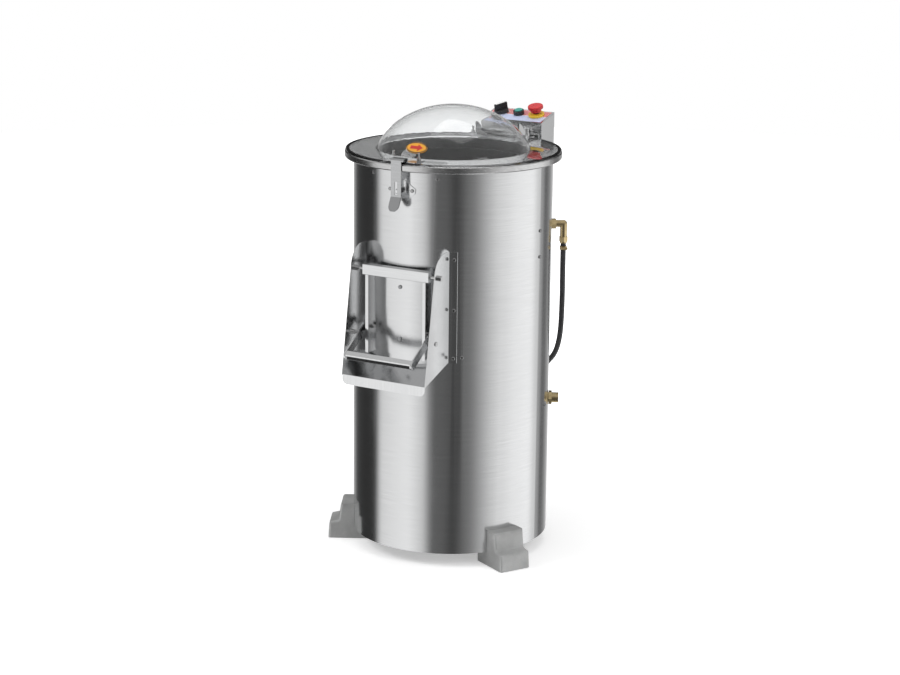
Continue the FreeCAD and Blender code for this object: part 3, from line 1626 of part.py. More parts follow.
def belt_hull(big, small, z0, z1):
    """The solid inside a belt line round both pulleys."""
    apart = motor_offset
    angle = math.acos((big - small) / apart)
    cosine, sine = math.cos(angle), math.sin(angle)
    corners = [
        Vector(-big * cosine, big * sine, z0),
        Vector(-apart - small * cosine, small * sine, z0),
        Vector(-apart - small * cosine, -small * sine, z0),
        Vector(-big * cosine, -big * sine, z0),
    ]
    middle = Part.Face(Part.makePolygon(corners + corners[:1])).extrude(Vector(0, 0, z1 - z0))
    big_end = rod(big, Vector(0, 0, z0), Vector(0, 0, z1))
    small_end = rod(small, Vector(-apart, 0, z0), Vector(-apart, 0, z1))
    return fused([middle, big_end, small_end])


def make_belt():
    lift = 0.3
    big = driven_pulley_radius - belt_thickness + lift
    small = motor_pulley_radius - belt_thickness + lift
    top = belt_bottom + belt_height
    outer = belt_hull(big + belt_thickness, small + belt_thickness, belt_bottom, top)
    save("drive_belt", outer.cut(belt_hull(big, small, belt_bottom - 1, top + 1)))


motor_rib_count = 24
motor_rib_depth = 6.0
motor_bolt_circle = 62.0


def motor_bolt_points():
    """Where the motor is bolted to its plate."""
    return [around(motor_bolt_circle, 45 + 90 * k, 0) + Vector(-motor_offset, 0, 0) for k in range(4)]


def make_motor():
    """The motor under its plate: a ribbed body, a shaft, a fan cover and a terminal box."""
    top = motor_plate_top - motor_plate_thickness
    bottom = top - motor_length
    centre = Vector(-motor_offset, 0, 0)
    core = rod(motor_radius - motor_rib_depth, centre + Vector(0, 0, bottom), centre + Vector(0, 0, top))
    flange = rod(motor_radius, centre + Vector(0, 0, top - 10), centre + Vector(0, 0, top))
    ribs = []
    for k in range(motor_rib_count):
        rib = block(-1.2, 1.2, motor_radius - motor_rib_depth - 4, motor_radius, bottom + 15, top - 9)
        rib.rotate(ORIGIN, AXIS_Z, 360.0 / motor_rib_count * k)
        rib.translate(centre)
        ribs.append(rib)
    bore_low = centre + Vector(0, 0, bottom - 1)
    bore = rod(motor_shaft_radius + running_gap, bore_low, centre + Vector(0, 0, top + 1))
    holes = [rod(4.2, p + Vector(0, 0, top - 12), p + Vector(0, 0, top + 2)) for p in motor_bolt_points()]
    body = core.fuse([flange] + ribs).removeSplitter()
    start = -motor_offset + motor_radius - motor_rib_depth - 1
    box = block(start, start + 55, -38, 38, bottom + 70, bottom + 150)
    box = box.cut(rod(motor_radius + 0.3, centre + Vector(0, 0, bottom), centre + Vector(0, 0, top)))
    cover = ring(motor_radius, motor_radius - 2, bottom - 42, bottom + 8, -motor_offset, 0.0)
    cover = cover.fuse(ring(motor_radius, 22.0, bottom - 42, bottom - 40, -motor_offset, 0.0))
    seat = centre + Vector(0, 0, bottom)
    body_space = rod(motor_radius - motor_rib_depth, seat, seat + Vector(0, 0, 20))
    step = ring(motor_radius - 2, motor_radius - motor_rib_depth, bottom, bottom + 8, -motor_offset, 0.0)
    cover = cover.fuse(step).cut(body_space).removeSplitter()
    save_group("motor", [cut_all(body, [bore] + holes), box, cover])
    shaft = rod(motor_shaft_radius, centre + Vector(0, 0, bottom - 24), centre + Vector(0, 0, pulley_top + 4))
    fan = rod(56.0, centre + Vector(0, 0, bottom - 20), centre + Vector(0, 0, bottom - 16))
    blades = []
    for k in range(6):
        blade = block(-1.0, 1.0, 0, 56, bottom - 16.5, bottom - 4)
        blade.rotate(ORIGIN, AXIS_Z, 60.0 * k)
        blade.translate(centre)
        blades.append(blade)
    small_pulley = pulley(motor_pulley_radius, motor_shaft_radius + hole_gap, -motor_offset)
    save_group("motor_shaft", [shaft.fuse([fan] + blades).removeSplitter(), small_pulley])


def make_motor_plate():
    low = motor_plate_top - motor_plate_thickness
    plate = block(-240, -45, -165, 165, low, motor_plate_top)
    plate = plate.common(rod(casing_inner_radius - 6, Vector(0, 0, low - 1), Vector(0, 0, motor_plate_top + 1)))
    tools = [rod(20.0, Vector(-motor_offset, 0, 300), Vector(-motor_offset, 0, 400))]
    tools += [rod(4.2, p + Vector(0, 0, 300), p + Vector(0, 0, 400)) for p in motor_bolt_points()]
    tools += [rod(stud_radius + hole_gap, Vector(x, y, 300), Vector(x, y, 400)) for x, y in stud_places]
    save("motor_plate", cut_all(plate, tools))


def make_studs():
    """The four studs that hang the motor plate from the drum floor, with their nuts."""
    low = motor_plate_top - motor_plate_thickness
    studs = []
    for x, y in stud_places:
        stud = rod(stud_radius, Vector(x, y, low - 16), Vector(x, y, drum_floor_bottom))
        upper = hexagon(17.0, 8.0, Vector(x, y, motor_plate_top), AXIS_Z)
        lower = hexagon(17.0, 8.0, Vector(x, y, low - 8), AXIS_Z)
        studs.append(fused([stud, upper, lower]))
    save_group("motor_studs", studs)


def make_frame_bolts():
    """The hexagon bolts of the feet, the bearing housing and the motor."""
    bolts = [turn(foot_bolt(side), angle) for angle in foot_angles for side in (-1, 1)]
    housing_seat = Vector(0, 0, drum_floor_bottom - housing_flange_thickness)
    motor_seat = Vector(0, 0, motor_plate_top)
    for point in housing_bolt_points():
        bolts.append(bolt(point + housing_seat, AXIS_Z * -1, 13.0, 5.3, 4.0, housing_flange_thickness + 3.5))
    for point in motor_bolt_points():
        bolts.append(bolt(point + motor_seat, AXIS_Z, 13.0, 5.3, 4.0, 15.0))
    save_group("frame_bolts", bolts)


def main():
    make_feet()
    make_casing()
    make_casing_rings()
    make_top_ring()
    make_drum()
    make_lining()
    make_drum_floor()
    make_duct()
    make_door_gasket()
    make_door()
    make_hinge_bar()
    make_chute_pins()
    make_door_plug()
    make_lever()
    make_lever_bolts()
    make_chute_sides()
    make_tray()
    make_casing_screws()
    make_latch_catch()
    make_hasp()
    make_hasp_bracket()
    make_lid()
    make_lid_gasket()
    make_badge()
    make_sensor_plate()
    make_lid_arms()
    make_lid_bolts()
    make_lid_hinge_bracket()
    make_control_box()
    make_hood()
    make_panel_label()
    make_timer()
    make_start_button()
    make_stop_button()
    make_switchgear()
    make_gland()
    make_box_spacers()
    make_hose()
    make_hose_fittings()
    make_inlet()
    make_valve()
    make_drain()
    make_disc()
    make_disc_abrasive()
    make_shaft()
    make_bearings()
    make_pulleys()
    make_belt()
    make_motor()
    make_motor_plate()
    make_studs()
    make_frame_bolts()


main()
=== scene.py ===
import math

import bmesh
import bpy
from mathutils import Matrix, Vector


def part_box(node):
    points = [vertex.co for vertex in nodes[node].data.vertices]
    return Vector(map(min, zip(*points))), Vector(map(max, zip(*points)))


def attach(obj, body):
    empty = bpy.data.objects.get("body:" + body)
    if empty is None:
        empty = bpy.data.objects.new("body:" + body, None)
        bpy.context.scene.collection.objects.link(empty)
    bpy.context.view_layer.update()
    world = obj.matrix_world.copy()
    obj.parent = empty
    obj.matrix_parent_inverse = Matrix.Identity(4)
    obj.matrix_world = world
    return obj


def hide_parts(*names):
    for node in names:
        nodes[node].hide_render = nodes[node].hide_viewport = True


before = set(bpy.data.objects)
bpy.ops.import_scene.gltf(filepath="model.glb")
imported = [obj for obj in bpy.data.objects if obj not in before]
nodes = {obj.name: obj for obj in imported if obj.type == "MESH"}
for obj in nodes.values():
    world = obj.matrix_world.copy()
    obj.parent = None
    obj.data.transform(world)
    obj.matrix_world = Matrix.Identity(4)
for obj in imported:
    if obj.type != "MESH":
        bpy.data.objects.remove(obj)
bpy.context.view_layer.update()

# Electric potato peeler: materials, small visible details, the studio and the camera.
# Metres. Origin on the drum axis at floor level, +Z up, the front faces -Y.
mm = 0.001


# Material helpers
def blank_material(name):
    """A new node material, its node tree and its shader."""
    material = bpy.data.materials.new(name)
    material.use_nodes = True
    tree = material.node_tree
    shader = tree.nodes["Principled BSDF"]
    return material, tree, shader


def link(tree, source, target):
    """Joins an output socket to an input socket."""
    tree.links.new(source, target)


def place(tree, scale=(1.0, 1.0, 1.0)):
    """The object's own coordinates in metres, stretched by scale."""
    coordinates = tree.nodes.new("ShaderNodeTexCoord")
    mapping = tree.nodes.new("ShaderNodeMapping")
    mapping.inputs["Scale"].default_value = scale
    link(tree, coordinates.outputs["Object"], mapping.inputs["Vector"])
    return mapping.outputs["Vector"]


def noise(tree, vector, scale, detail=3.0, roughness=0.5):
    """A noise pattern on the given coordinates."""
    texture = tree.nodes.new("ShaderNodeTexNoise")
    texture.inputs["Scale"].default_value = scale
    texture.inputs["Detail"].default_value = detail
    texture.inputs["Roughness"].default_value = roughness
    link(tree, vector, texture.inputs["Vector"])
    return texture.outputs["Fac"]


def ramp(tree, factor, stops):
    """A colour ramp; each stop is a place and a colour or a grey."""
    node = tree.nodes.new("ShaderNodeValToRGB")
    elements = node.color_ramp.elements
    while len(elements) < len(stops):
        elements.new(0.5)
    for element, (position, colour) in zip(elements, stops):
        element.position = position
        grey = isinstance(colour, (int, float))
        element.color = (colour, colour, colour, 1.0) if grey else (*colour, 1.0)
    link(tree, factor, node.inputs["Fac"])
    return node.outputs["Color"]


def spread(tree, factor, low, high):
    """The factor's middle half carried onto low to high."""
    node = tree.nodes.new("ShaderNodeMapRange")
    node.inputs["From Min"].default_value = 0.25
    node.inputs["From Max"].default_value = 0.75
    node.inputs["To Min"].default_value = low
    node.inputs["To Max"].default_value = high
    link(tree, factor, node.inputs["Value"])
    return node.outputs["Result"]


def math_node(tree, operation, first, second=None):
    """One sum on sockets or plain numbers."""
    node = tree.nodes.new("ShaderNodeMath")
    node.operation = operation
    for index, value in enumerate((first, second)):
        if value is None:
            continue
        if isinstance(value, (int, float)):
            node.inputs[index].default_value = value
        else:
            link(tree, value, node.inputs[index])
    return node.outputs["Value"]


def mixed(tree, factor, first, second):
    """A colour between first and second by the factor."""
    node = tree.nodes.new("ShaderNodeMix")
    node.data_type = "RGBA"
    link(tree, factor, node.inputs[0])
    for socket, value in ((node.inputs[6], first), (node.inputs[7], second)):
        if isinstance(value, tuple):
            socket.default_value = (*value, 1.0)
        else:
            link(tree, value, socket)
    return node.outputs[2]


def rise(tree, value, low, high):
    """A smooth step from low to high."""
    node = tree.nodes.new("ShaderNodeMapRange")
    node.interpolation_type = "SMOOTHSTEP"
    node.inputs["From Min"].default_value = low
    node.inputs["From Max"].default_value = high
    link(tree, value, node.inputs["Value"])
    return node.outputs["Result"]


def bump(tree, shader, height, strength, distance):
    """A relief on the shader's normal."""
    node = tree.nodes.new("ShaderNodeBump")
    node.inputs["Strength"].default_value = strength
    node.inputs["Distance"].default_value = distance
    link(tree, height, node.inputs["Height"])
    link(tree, node.outputs["Normal"], shader.inputs["Normal"])


def tone(colour, factor):
    """The colour made darker or lighter."""
    return tuple(min(1.0, channel * factor) for channel in colour)


def brushed_metal(name, colour, roughness, grain, strength=0.12):
    """Brushed sheet: fine streaks along the grain, soft clouds and a little wear."""
    material, tree, shader = blank_material(name)
    streaks = noise(tree, place(tree, grain), 1.0, 4.0, 0.6)
    clouds = noise(tree, place(tree), 5.0, 3.0)
    shade = ramp(tree, streaks, [(0.3, tone(colour, 0.9)), (0.7, tone(colour, 1.06))])
    cloudy = mixed(tree, spread(tree, clouds, 0.0, 0.35), shade, tone(colour, 0.88))
    link(tree, cloudy, shader.inputs["Base Color"])
    rough = math_node(
        tree, "ADD", spread(tree, streaks, roughness * 0.85, roughness * 1.15),
        spread(tree, clouds, -0.02, 0.03),
    )
    link(tree, rough, shader.inputs["Roughness"])
    shader.inputs["Metallic"].default_value = 1.0
    bump(tree, shader, streaks, strength, 0.0002)
    return material


def moulded_plastic(name, colour, roughness, relief=0.05):
    """Moulded plastic: a faint mottle, small gloss changes and a fine skin."""
    material, tree, shader = blank_material(name)
    mottle = noise(tree, place(tree), 60.0, 4.0)
    skin = noise(tree, place(tree), 1400.0, 2.0)
    shade = ramp(tree, mottle, [(0.3, tone(colour, 0.92)), (0.7, tone(colour, 1.05))])
    link(tree, shade, shader.inputs["Base Color"])
    link(tree, spread(tree, mottle, roughness * 0.9, roughness * 1.15), shader.inputs["Roughness"])
    bump(tree, shader, skin, relief, 0.0001)
    return material


def steel():
    """Satin sheet with its grain round the casing."""
    return brushed_metal("satin_steel", (0.76, 0.765, 0.77), 0.17, (12.0, 12.0, 1400.0), 0.04)


def painted_shade_screw_steel():
    """Steel of the small domed screws, its colour darkened as painted shade round their heads."""
    return brushed_metal("screw_steel_painted_shade", (0.42, 0.42, 0.42), 0.2, (300.0, 300.0, 300.0), 0.08)


def chute_steel():
    """Sheet of the chute with its grain running up and down."""
    return brushed_metal("chute_steel", (0.78, 0.785, 0.79), 0.16, (900.0, 8.0, 8.0), 0.06)


def polished():
    """Polished sheet of the lever and the lid's hinge."""
    return brushed_metal("polished_steel", (0.8, 0.805, 0.81), 0.1, (300.0, 300.0, 20.0), 0.04)


def strap_steel_painted_shade():
    """Steel of the hasp and its bracket: a copy of the polished steel with its colour darkened as
    painted shade, which dims its reflection.
    """
    return brushed_metal("strap_steel_painted_shade", (0.5, 0.505, 0.51), 0.14, (20.0, 900.0, 900.0), 0.05)


def fastener():
    """Plain steel of the bolts and shafts."""
    return brushed_metal("bolt_steel", (0.66, 0.66, 0.66), 0.24, (300.0, 300.0, 300.0), 0.08)


# Zone of the rim that lies under the lid's plate, where its colour is darkened as painted shade
under_lid_radius = 0.2685
under_lid_level = 1.0172


def rim_steel():
    """The folded rim: satin on its bead, and a dark base colour with cloudy variation under the lid
    as painted shade.
    """
    material, tree, shader = blank_material("rim_steel")
    streaks = noise(tree, place(tree, (90.0, 90.0, 900.0)), 1.0, 4.0, 0.6)
    clouds = noise(tree, place(tree), 9.0, 3.0)
    split = tree.nodes.new("ShaderNodeSeparateXYZ")
    link(tree, place(tree), split.inputs["Vector"])
    across = math_node(
        tree, "SQRT",
        math_node(
            tree, "ADD", math_node(tree, "POWER", split.outputs["X"], 2.0),
            math_node(tree, "POWER", split.outputs["Y"], 2.0),
        ),
    )
    under_lid = math_node(
        tree, "MULTIPLY", math_node(tree, "LESS_THAN", across, under_lid_radius),
        math_node(tree, "GREATER_THAN", split.outputs["Z"], under_lid_level),
    )
    bright = ramp(tree, streaks, [(0.3, 0.55), (0.7, 0.7)])
    # Painted shade: the rim under the lid gets a dark colour
    dulling_and_shade = ramp(tree, clouds, [(0.3, 0.1), (0.7, 0.26)])
    link(tree, mixed(tree, under_lid, bright, dulling_and_shade), shader.inputs["Base Color"])
    link(tree, spread(tree, streaks, 0.18, 0.3), shader.inputs["Roughness"])
    shader.inputs["Metallic"].default_value = 1.0
    bump(tree, shader, streaks, 0.1, 0.0002)
    return material


def cast_aluminium():
    """Sand-cast aluminium: pale grey, grainy and a little pitted."""
    material, tree, shader = blank_material("cast_aluminium")
    grain = noise(tree, place(tree), 420.0, 5.0, 0.65)
    clouds = noise(tree, place(tree), 22.0, 3.0)
    shade = ramp(tree, clouds, [(0.3, (0.5, 0.505, 0.5)), (0.7, (0.66, 0.665, 0.66))])
    grainy = mixed(tree, spread(tree, grain, 0.0, 0.4), shade, (0.42, 0.42, 0.42))
    link(tree, grainy, shader.inputs["Base Color"])
    link(tree, spread(tree, grain, 0.45, 0.62), shader.inputs["Roughness"])
    shader.inputs["Metallic"].default_value = 0.55
    bump(tree, shader, grain, 0.35, 0.0006)
    return material


def clear_plastic():
    """Clear moulded polycarbonate with faint handling marks, and a dark colour where the shell is
    seen edge-on as painted shade.
    """
    material, tree, shader = blank_material("clear_plastic")
    roughness = 0.012
    marks = noise(tree, place(tree), 30.0, 5.0, 0.6)
    tint = ramp(tree, marks, [(0.35, (0.95, 0.96, 0.965)), (0.7, (0.985, 0.99, 0.99))])
    # Painted shade: the base colour darkens where the dome is seen edge-on
    facing = tree.nodes.new("ShaderNodeLayerWeight")
    facing.inputs["Blend"].default_value = 0.5
    edge = rise(tree, facing.outputs["Facing"], 0.8, 0.99)
    link(tree, mixed(tree, edge, tint, (0.16, 0.165, 0.17)), shader.inputs["Base Color"])
    link(tree, spread(tree, marks, roughness * 0.6, roughness * 1.8), shader.inputs["Roughness"])
    shader.inputs["Transmission Weight"].default_value = 1.0
    shader.inputs["IOR"].default_value = 1.45
    shader.inputs["Specular IOR Level"].default_value = 0.3
    bump(tree, shader, noise(tree, place(tree), 12.0, 2.0), 0.02, 0.001)
    return material


def abrasive():
    """Coarse dark grit in resin, its colour pushed near black: the grit's own dark grey, and painted
    shade for the inside of the drum.
    """
    material, tree, shader = blank_material("abrasive")
    cells = tree.nodes.new("ShaderNodeTexVoronoi")
    cells.inputs["Scale"].default_value = 420.0
    link(tree, place(tree), cells.inputs["Vector"])
    grit = cells.outputs["Distance"]
    clouds = noise(tree, place(tree), 14.0, 3.0)
    # Near-black colour: partly the grit's own, partly painted shade inside the drum
    shade = ramp(tree, grit, [(0.1, 0.035), (0.6, 0.006)])
    cloudy = mixed(tree, spread(tree, clouds, 0.0, 0.5), shade, (0.014, 0.013, 0.012))
    link(tree, cloudy, shader.inputs["Base Color"])
    link(tree, spread(tree, grit, 0.5, 0.8), shader.inputs["Roughness"])
    bump(tree, shader, grit, 0.8, 0.0012)
    return material


def rubber():
    """Black rubber with a dusty, slightly uneven skin."""
    material, tree, shader = blank_material("black_rubber")
    colour = (0.028, 0.028, 0.03)
    dust = noise(tree, place(tree), 45.0, 4.0)
    skin = noise(tree, place(tree), 900.0, 2.0)
    shade = ramp(tree, dust, [(0.35, colour), (0.75, tone(colour, 1.9))])
    link(tree, shade, shader.inputs["Base Color"])
    link(tree, spread(tree, dust, 0.38, 0.55), shader.inputs["Roughness"])
    bump(tree, shader, skin, 0.12, 0.0002)
    return material


def brass():
    """Machined brass, a little dulled."""
    material, tree, shader = blank_material("brass")
    turned = noise(tree, place(tree, (500.0, 500.0, 500.0)), 1.0, 3.0)
    dulling_and_shade = noise(tree, place(tree), 60.0, 4.0)
    shade = ramp(tree, dulling_and_shade, [(0.3, (0.74, 0.6, 0.34)), (0.75, (0.55, 0.42, 0.22))])
    link(tree, shade, shader.inputs["Base Color"])
    link(tree, spread(tree, dulling_and_shade, 0.18, 0.36), shader.inputs["Roughness"])
    shader.inputs["Metallic"].default_value = 1.0
    bump(tree, shader, turned, 0.08, 0.0002)
    return material


def cast_iron():
    """Turned grey iron."""
    material, tree, shader = blank_material("cast_iron")
    grain = noise(tree, place(tree), 300.0, 4.0)
    shade = ramp(tree, grain, [(0.3, 0.13), (0.7, 0.24)])
    link(tree, shade, shader.inputs["Base Color"])
    link(tree, spread(tree, grain, 0.4, 0.6), shader.inputs["Roughness"])
    shader.inputs["Metallic"].default_value = 0.8
    bump(tree, shader, grain, 0.2, 0.0004)
    return material


def motor_paint():
    """Grey hammered enamel."""
    material, tree, shader = blank_material("motor_paint")
    dimples = noise(tree, place(tree), 260.0, 2.0)
    shade = ramp(tree, dimples, [(0.3, (0.2, 0.235, 0.27)), (0.7, (0.3, 0.34, 0.38))])
    link(tree, shade, shader.inputs["Base Color"])
    link(tree, spread(tree, dimples, 0.3, 0.45), shader.inputs["Roughness"])
    bump(tree, shader, dimples, 0.3, 0.0005)
    return material


# Panel label: red film behind, pale blue in front
panel_front_y = 0.303
panel_back_y = 0.369
label_edge_y = 0.3335


def label_film():
    """Printed film without words: a red rear field, a pale blue front field and a thin white line."""
    material, tree, shader = blank_material("panel_label")
    split = tree.nodes.new("ShaderNodeSeparateXYZ")
    link(tree, place(tree), split.inputs["Vector"])
    reach = panel_back_y - panel_front_y
    along = math_node(
        tree, "DIVIDE", math_node(tree, "SUBTRACT", split.outputs["Y"], panel_front_y), reach
    )
    edge = (label_edge_y - panel_front_y) / reach
    line_share = 0.03
    rear_line = 0.97
    line_colour = (0.9, 0.9, 0.92)
    node = tree.nodes.new("ShaderNodeValToRGB")
    node.color_ramp.interpolation = "CONSTANT"
    stops = (
        (0.0, (0.52, 0.58, 0.8)),
        (edge, line_colour),
        (edge + line_share, (0.72, 0.2, 0.2)),
        (rear_line, line_colour),
    )
    while len(node.color_ramp.elements) < len(stops):
        node.color_ramp.elements.new(0.5)
    for element, (position, colour) in zip(node.color_ramp.elements, stops):
        element.position = position
        element.color = (*colour, 1.0)
    link(tree, along, node.inputs["Fac"])
    mottle = noise(tree, place(tree), 90.0, 3.0)
    faded = mixed(tree, spread(tree, mottle, 0.0, 0.18), node.outputs["Color"], (0.8, 0.78, 0.8))
    link(tree, faded, shader.inputs["Base Color"])
    link(tree, spread(tree, mottle, 0.28, 0.4), shader.inputs["Roughness"])
    bump(tree, shader, mottle, 0.04, 0.0002)
    return material


materials = {
    "steel": steel(),
    "chute": chute_steel(),
    "polished": polished(),
    "strap": strap_steel_painted_shade(),
    "fastener": fastener(),
    "screw": painted_shade_screw_steel(),
    "rim": rim_steel(),
    "cast": cast_aluminium(),
    "clear": clear_plastic(),
    "grit": abrasive(),
    "rubber": rubber(),
    "brass": brass(),
    "iron": cast_iron(),
    "enamel": motor_paint(),
    "label": label_film(),
    "black": moulded_plastic("black_plastic", (0.03, 0.03, 0.032), 0.3),
    "red": moulded_plastic("red_plastic", (0.62, 0.035, 0.04), 0.28),
    "yellow": moulded_plastic("yellow_plastic", (0.92, 0.62, 0.05), 0.35),
    "green": moulded_plastic("green_plastic", (0.06, 0.36, 0.3), 0.3),
    "grey": moulded_plastic("grey_plastic", (0.42, 0.43, 0.44), 0.4),
    "orange": moulded_plastic("badge_orange", (0.9, 0.42, 0.05), 0.35),
    "arrow": moulded_plastic("arrow_red", (0.62, 0.05, 0.04), 0.35),
    # White of the timer's printed ticks and of the painted highlight on its grip
    "white": moulded_plastic("print_and_highlight_white", (0.85, 0.85, 0.84), 0.4),
    "dark": moulded_plastic("badge_outline", (0.05, 0.05, 0.05), 0.4),
}

node_materials = {
    "steel": (
        "casing", "casing_rings", "drum", "drum_floor", "door_duct", "door", "door_hinge_bar",
        "control_box", "control_hood", "box_spacers", "motor_plate", "drain_pipe", "disc",
        "latch_catch", "timer_body",
    ),
    "rim": ("top_ring",),
    "chute": ("chute_sides", "chute_tray"),
    "polished": ("door_lever", "lid_arms", "lid_hinge_bracket"),
    "strap": ("hasp", "hasp_bracket"),
    "fastener": (
        "frame_bolts", "lid_bolts", "lever_pivot_bolts", "chute_pins", "disc_shaft",
        "motor_studs", "shaft_bearings", "motor_shaft",
    ),
    "screw": ("casing_screws",),
    "clear": ("lid",),
    "cast": ("foot_left", "foot_right", "foot_back"),
    "grit": ("drum_lining", "disc_abrasive"),
    "rubber": ("lid_gasket", "door_gasket", "water_hose", "drive_belt"),
    "brass": ("hose_fittings", "inlet_nipple", "solenoid_valve"),
    "iron": ("bearing_housing", "driven_pulley"),
    "enamel": ("motor",),
    "label": ("panel_label",),
    "black": ("timer_knob", "button_bezel", "stop_stem", "cable_gland"),
    "red": ("stop_button",),
    "yellow": ("stop_collar",),
    "green": ("start_button",),
    "grey": ("door_plug", "switchgear", "lid_sensor_plate"),
    "orange": ("direction_badge",),
}


node_sharp_angle = 28
piece_sharp_angle = 35


def dress_nodes():
    """Every CAD node gets its material and smooth round faces with sharp edges."""
    for key, names in node_materials.items():
        for name in names:
            mesh = nodes[name].data
            mesh.materials.clear()
            mesh.materials.append(materials[key])
            mesh.shade_smooth()
            mesh.set_sharp_from_angle(angle=math.radians(node_sharp_angle))


# Piece helpers
def piece(name, bm, material, body):
    """A new piece from a bmesh, which rides on a body."""
    bmesh.ops.recalc_face_normals(bm, faces=bm.faces)
    mesh = bpy.data.meshes.new(name)
    bm.to_mesh(mesh)
    bm.free()
    mesh.materials.append(material)
    mesh.shade_smooth()
    mesh.set_sharp_from_angle(angle=math.radians(piece_sharp_angle))
    made = bpy.data.objects.new(name, mesh)
    bpy.context.scene.collection.objects.link(made)
    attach(made, body)
    return made


def soften(made, width):
    """Rounds a piece's edges."""
    modifier = made.modifiers.new("edges", "BEVEL")
    modifier.width = width
    modifier.segments = 3
    modifier.limit_method = "ANGLE"
    return made


# Dome, as the lid's clear shell is drawn
lid_top = 1.0225
dome_radius = 0.193
dome_height = 0.108
dome_cut = 0.045
dome_half_height = dome_height + dome_cut
dome_half_width = dome_radius / math.sqrt(1 - (dome_cut / dome_half_height) ** 2)
badge_level = 0.024
badge_lift = 0.0007


def dome_point(across, along, lift):
    """A point over the dome's front: across to the right, and along up the slope, from the badge."""
    level = badge_level + dome_cut
    middle = math.acos(level / dome_half_height)
    radius = dome_half_width * math.sin(middle)
    speed = math.hypot(dome_half_width * math.cos(middle), dome_half_height * math.sin(middle))
    angle = middle - along / speed
    swing = across / radius
    distance = dome_half_width * math.sin(angle)
    height = lid_top - dome_cut + dome_half_height * math.cos(angle)
    slope = Vector(
        (math.sin(angle) / dome_half_width * math.sin(swing),
         -math.sin(angle) / dome_half_width * math.cos(swing), math.cos(angle) / dome_half_height)
    ).normalized()
    return Vector((distance * math.sin(swing), -distance * math.cos(swing), height)) + slope * lift


def dome_film(name, outlines, material, lift, thickness):
    """A thin film on the dome from flat quads and triangles of across and along, finely divided."""
    bm = bmesh.new()
    for outline in outlines:
        bm.faces.new([bm.verts.new((x, y, 0.0)) for x, y in outline])
    bmesh.ops.remove_doubles(bm, verts=bm.verts, dist=1e-6)
    bmesh.ops.subdivide_edges(bm, edges=bm.edges, cuts=3, use_grid_fill=True)
    faces = list(bm.faces)
    made = bmesh.ops.extrude_face_region(bm, geom=faces)
    raised = {vert for vert in made["geom"] if isinstance(vert, bmesh.types.BMVert)}
    for vert in bm.verts:
        high = thickness if vert in raised else 0.0
        vert.co = dome_point(vert.co.x, vert.co.y, lift + high)
    return piece(name, bm, material, "lid")


def make_badge_prints():
    """The plain arrow and the dark outline on the badge."""
    length = 0.017
    shaft = 0.0042
    head = 0.0095
    neck = 0.004
    tip = 0.018
    arrow_film = 0.0002
    outline_film = 0.00015
    arrow = [
        [(-length, -shaft), (neck, -shaft), (neck, shaft), (-length, shaft)],
        [(neck, -head), (tip, 0.0), (neck, head)],
    ]
    dome_film("direction_arrow", arrow, materials["arrow"], badge_lift, arrow_film)
    half_width = 0.0292
    half_height = 0.0142
    width = 0.0022
    count = 48
    rim = []
    for k in range(count):
        first = 2 * math.pi * k / count
        second = 2 * math.pi * (k + 1) / count
        rim.append(
            [
                (half_width * math.cos(first), half_height * math.sin(first)),
                (half_width * math.cos(second), half_height * math.sin(second)),
                ((half_width - width) * math.cos(second), (half_height - width) * math.sin(second)),
                ((half_width - width) * math.cos(first), (half_height - width) * math.sin(first)),
            ]
        )
    dome_film("badge_outline", rim, materials["dark"], badge_lift, outline_film)


def block_piece(name, low, high, material, body, width):
    """A thin plate between two corners, with rounded edges."""
    bm = bmesh.new()
    bmesh.ops.create_cube(bm, size=1.0)
    size = Vector(high) - Vector(low)
    middle = (Vector(high) + Vector(low)) / 2
    for vert in bm.verts:
        vert.co = Vector((vert.co.x * size.x, vert.co.y * size.y, vert.co.z * size.z)) + middle
    return soften(piece(name, bm, material, body), width)


def make_box_strip():
    """The plain yellow strip along the foot of the box's front."""
    front = min(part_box("control_box")[0].y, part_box("control_hood")[0].y)
    left, right = 0.002, 0.064
    foot, top = 1.020, 1.029
    thickness = 0.0009
    rounding = 0.0002
    block_piece(
        "box_strip", (left, front - thickness, foot), (right, front, top), materials["yellow"],
        "cabinet", rounding,
    )


# Controls on the sloping panel
box_slope = math.radians(15.2)
control_up = Vector((0.0, -math.sin(box_slope), math.cos(box_slope)))
control_row_y = 0.340
panel_edge_y = 0.302
panel_edge_z = 1.054
control_row_z = panel_edge_z + (control_row_y - panel_edge_y) * math.tan(box_slope)
control_pitch = 0.052
panel_skin = 0.0005
timer_column = -1


def on_panel(bm, column, lift):
    """Carries a bmesh drawn round the origin onto the control's place on the panel."""
    turn = Matrix.Rotation(box_slope, 4, "X")
    middle = Vector((column * control_pitch, control_row_y, control_row_z)) + control_up * lift
    bmesh.ops.transform(bm, matrix=Matrix.Translation(middle) @ turn, verts=bm.verts)


def flat_shapes(outlines, thickness):
    """A bmesh of thin plates from flat outlines."""
    bm = bmesh.new()
    faces = [bm.faces.new([bm.verts.new((x, y, 0.0)) for x, y in outline]) for outline in outlines]
    made = bmesh.ops.extrude_face_region(bm, geom=faces)
    for item in made["geom"]:
        if isinstance(item, bmesh.types.BMVert):
            item.co.z += thickness
    return bm


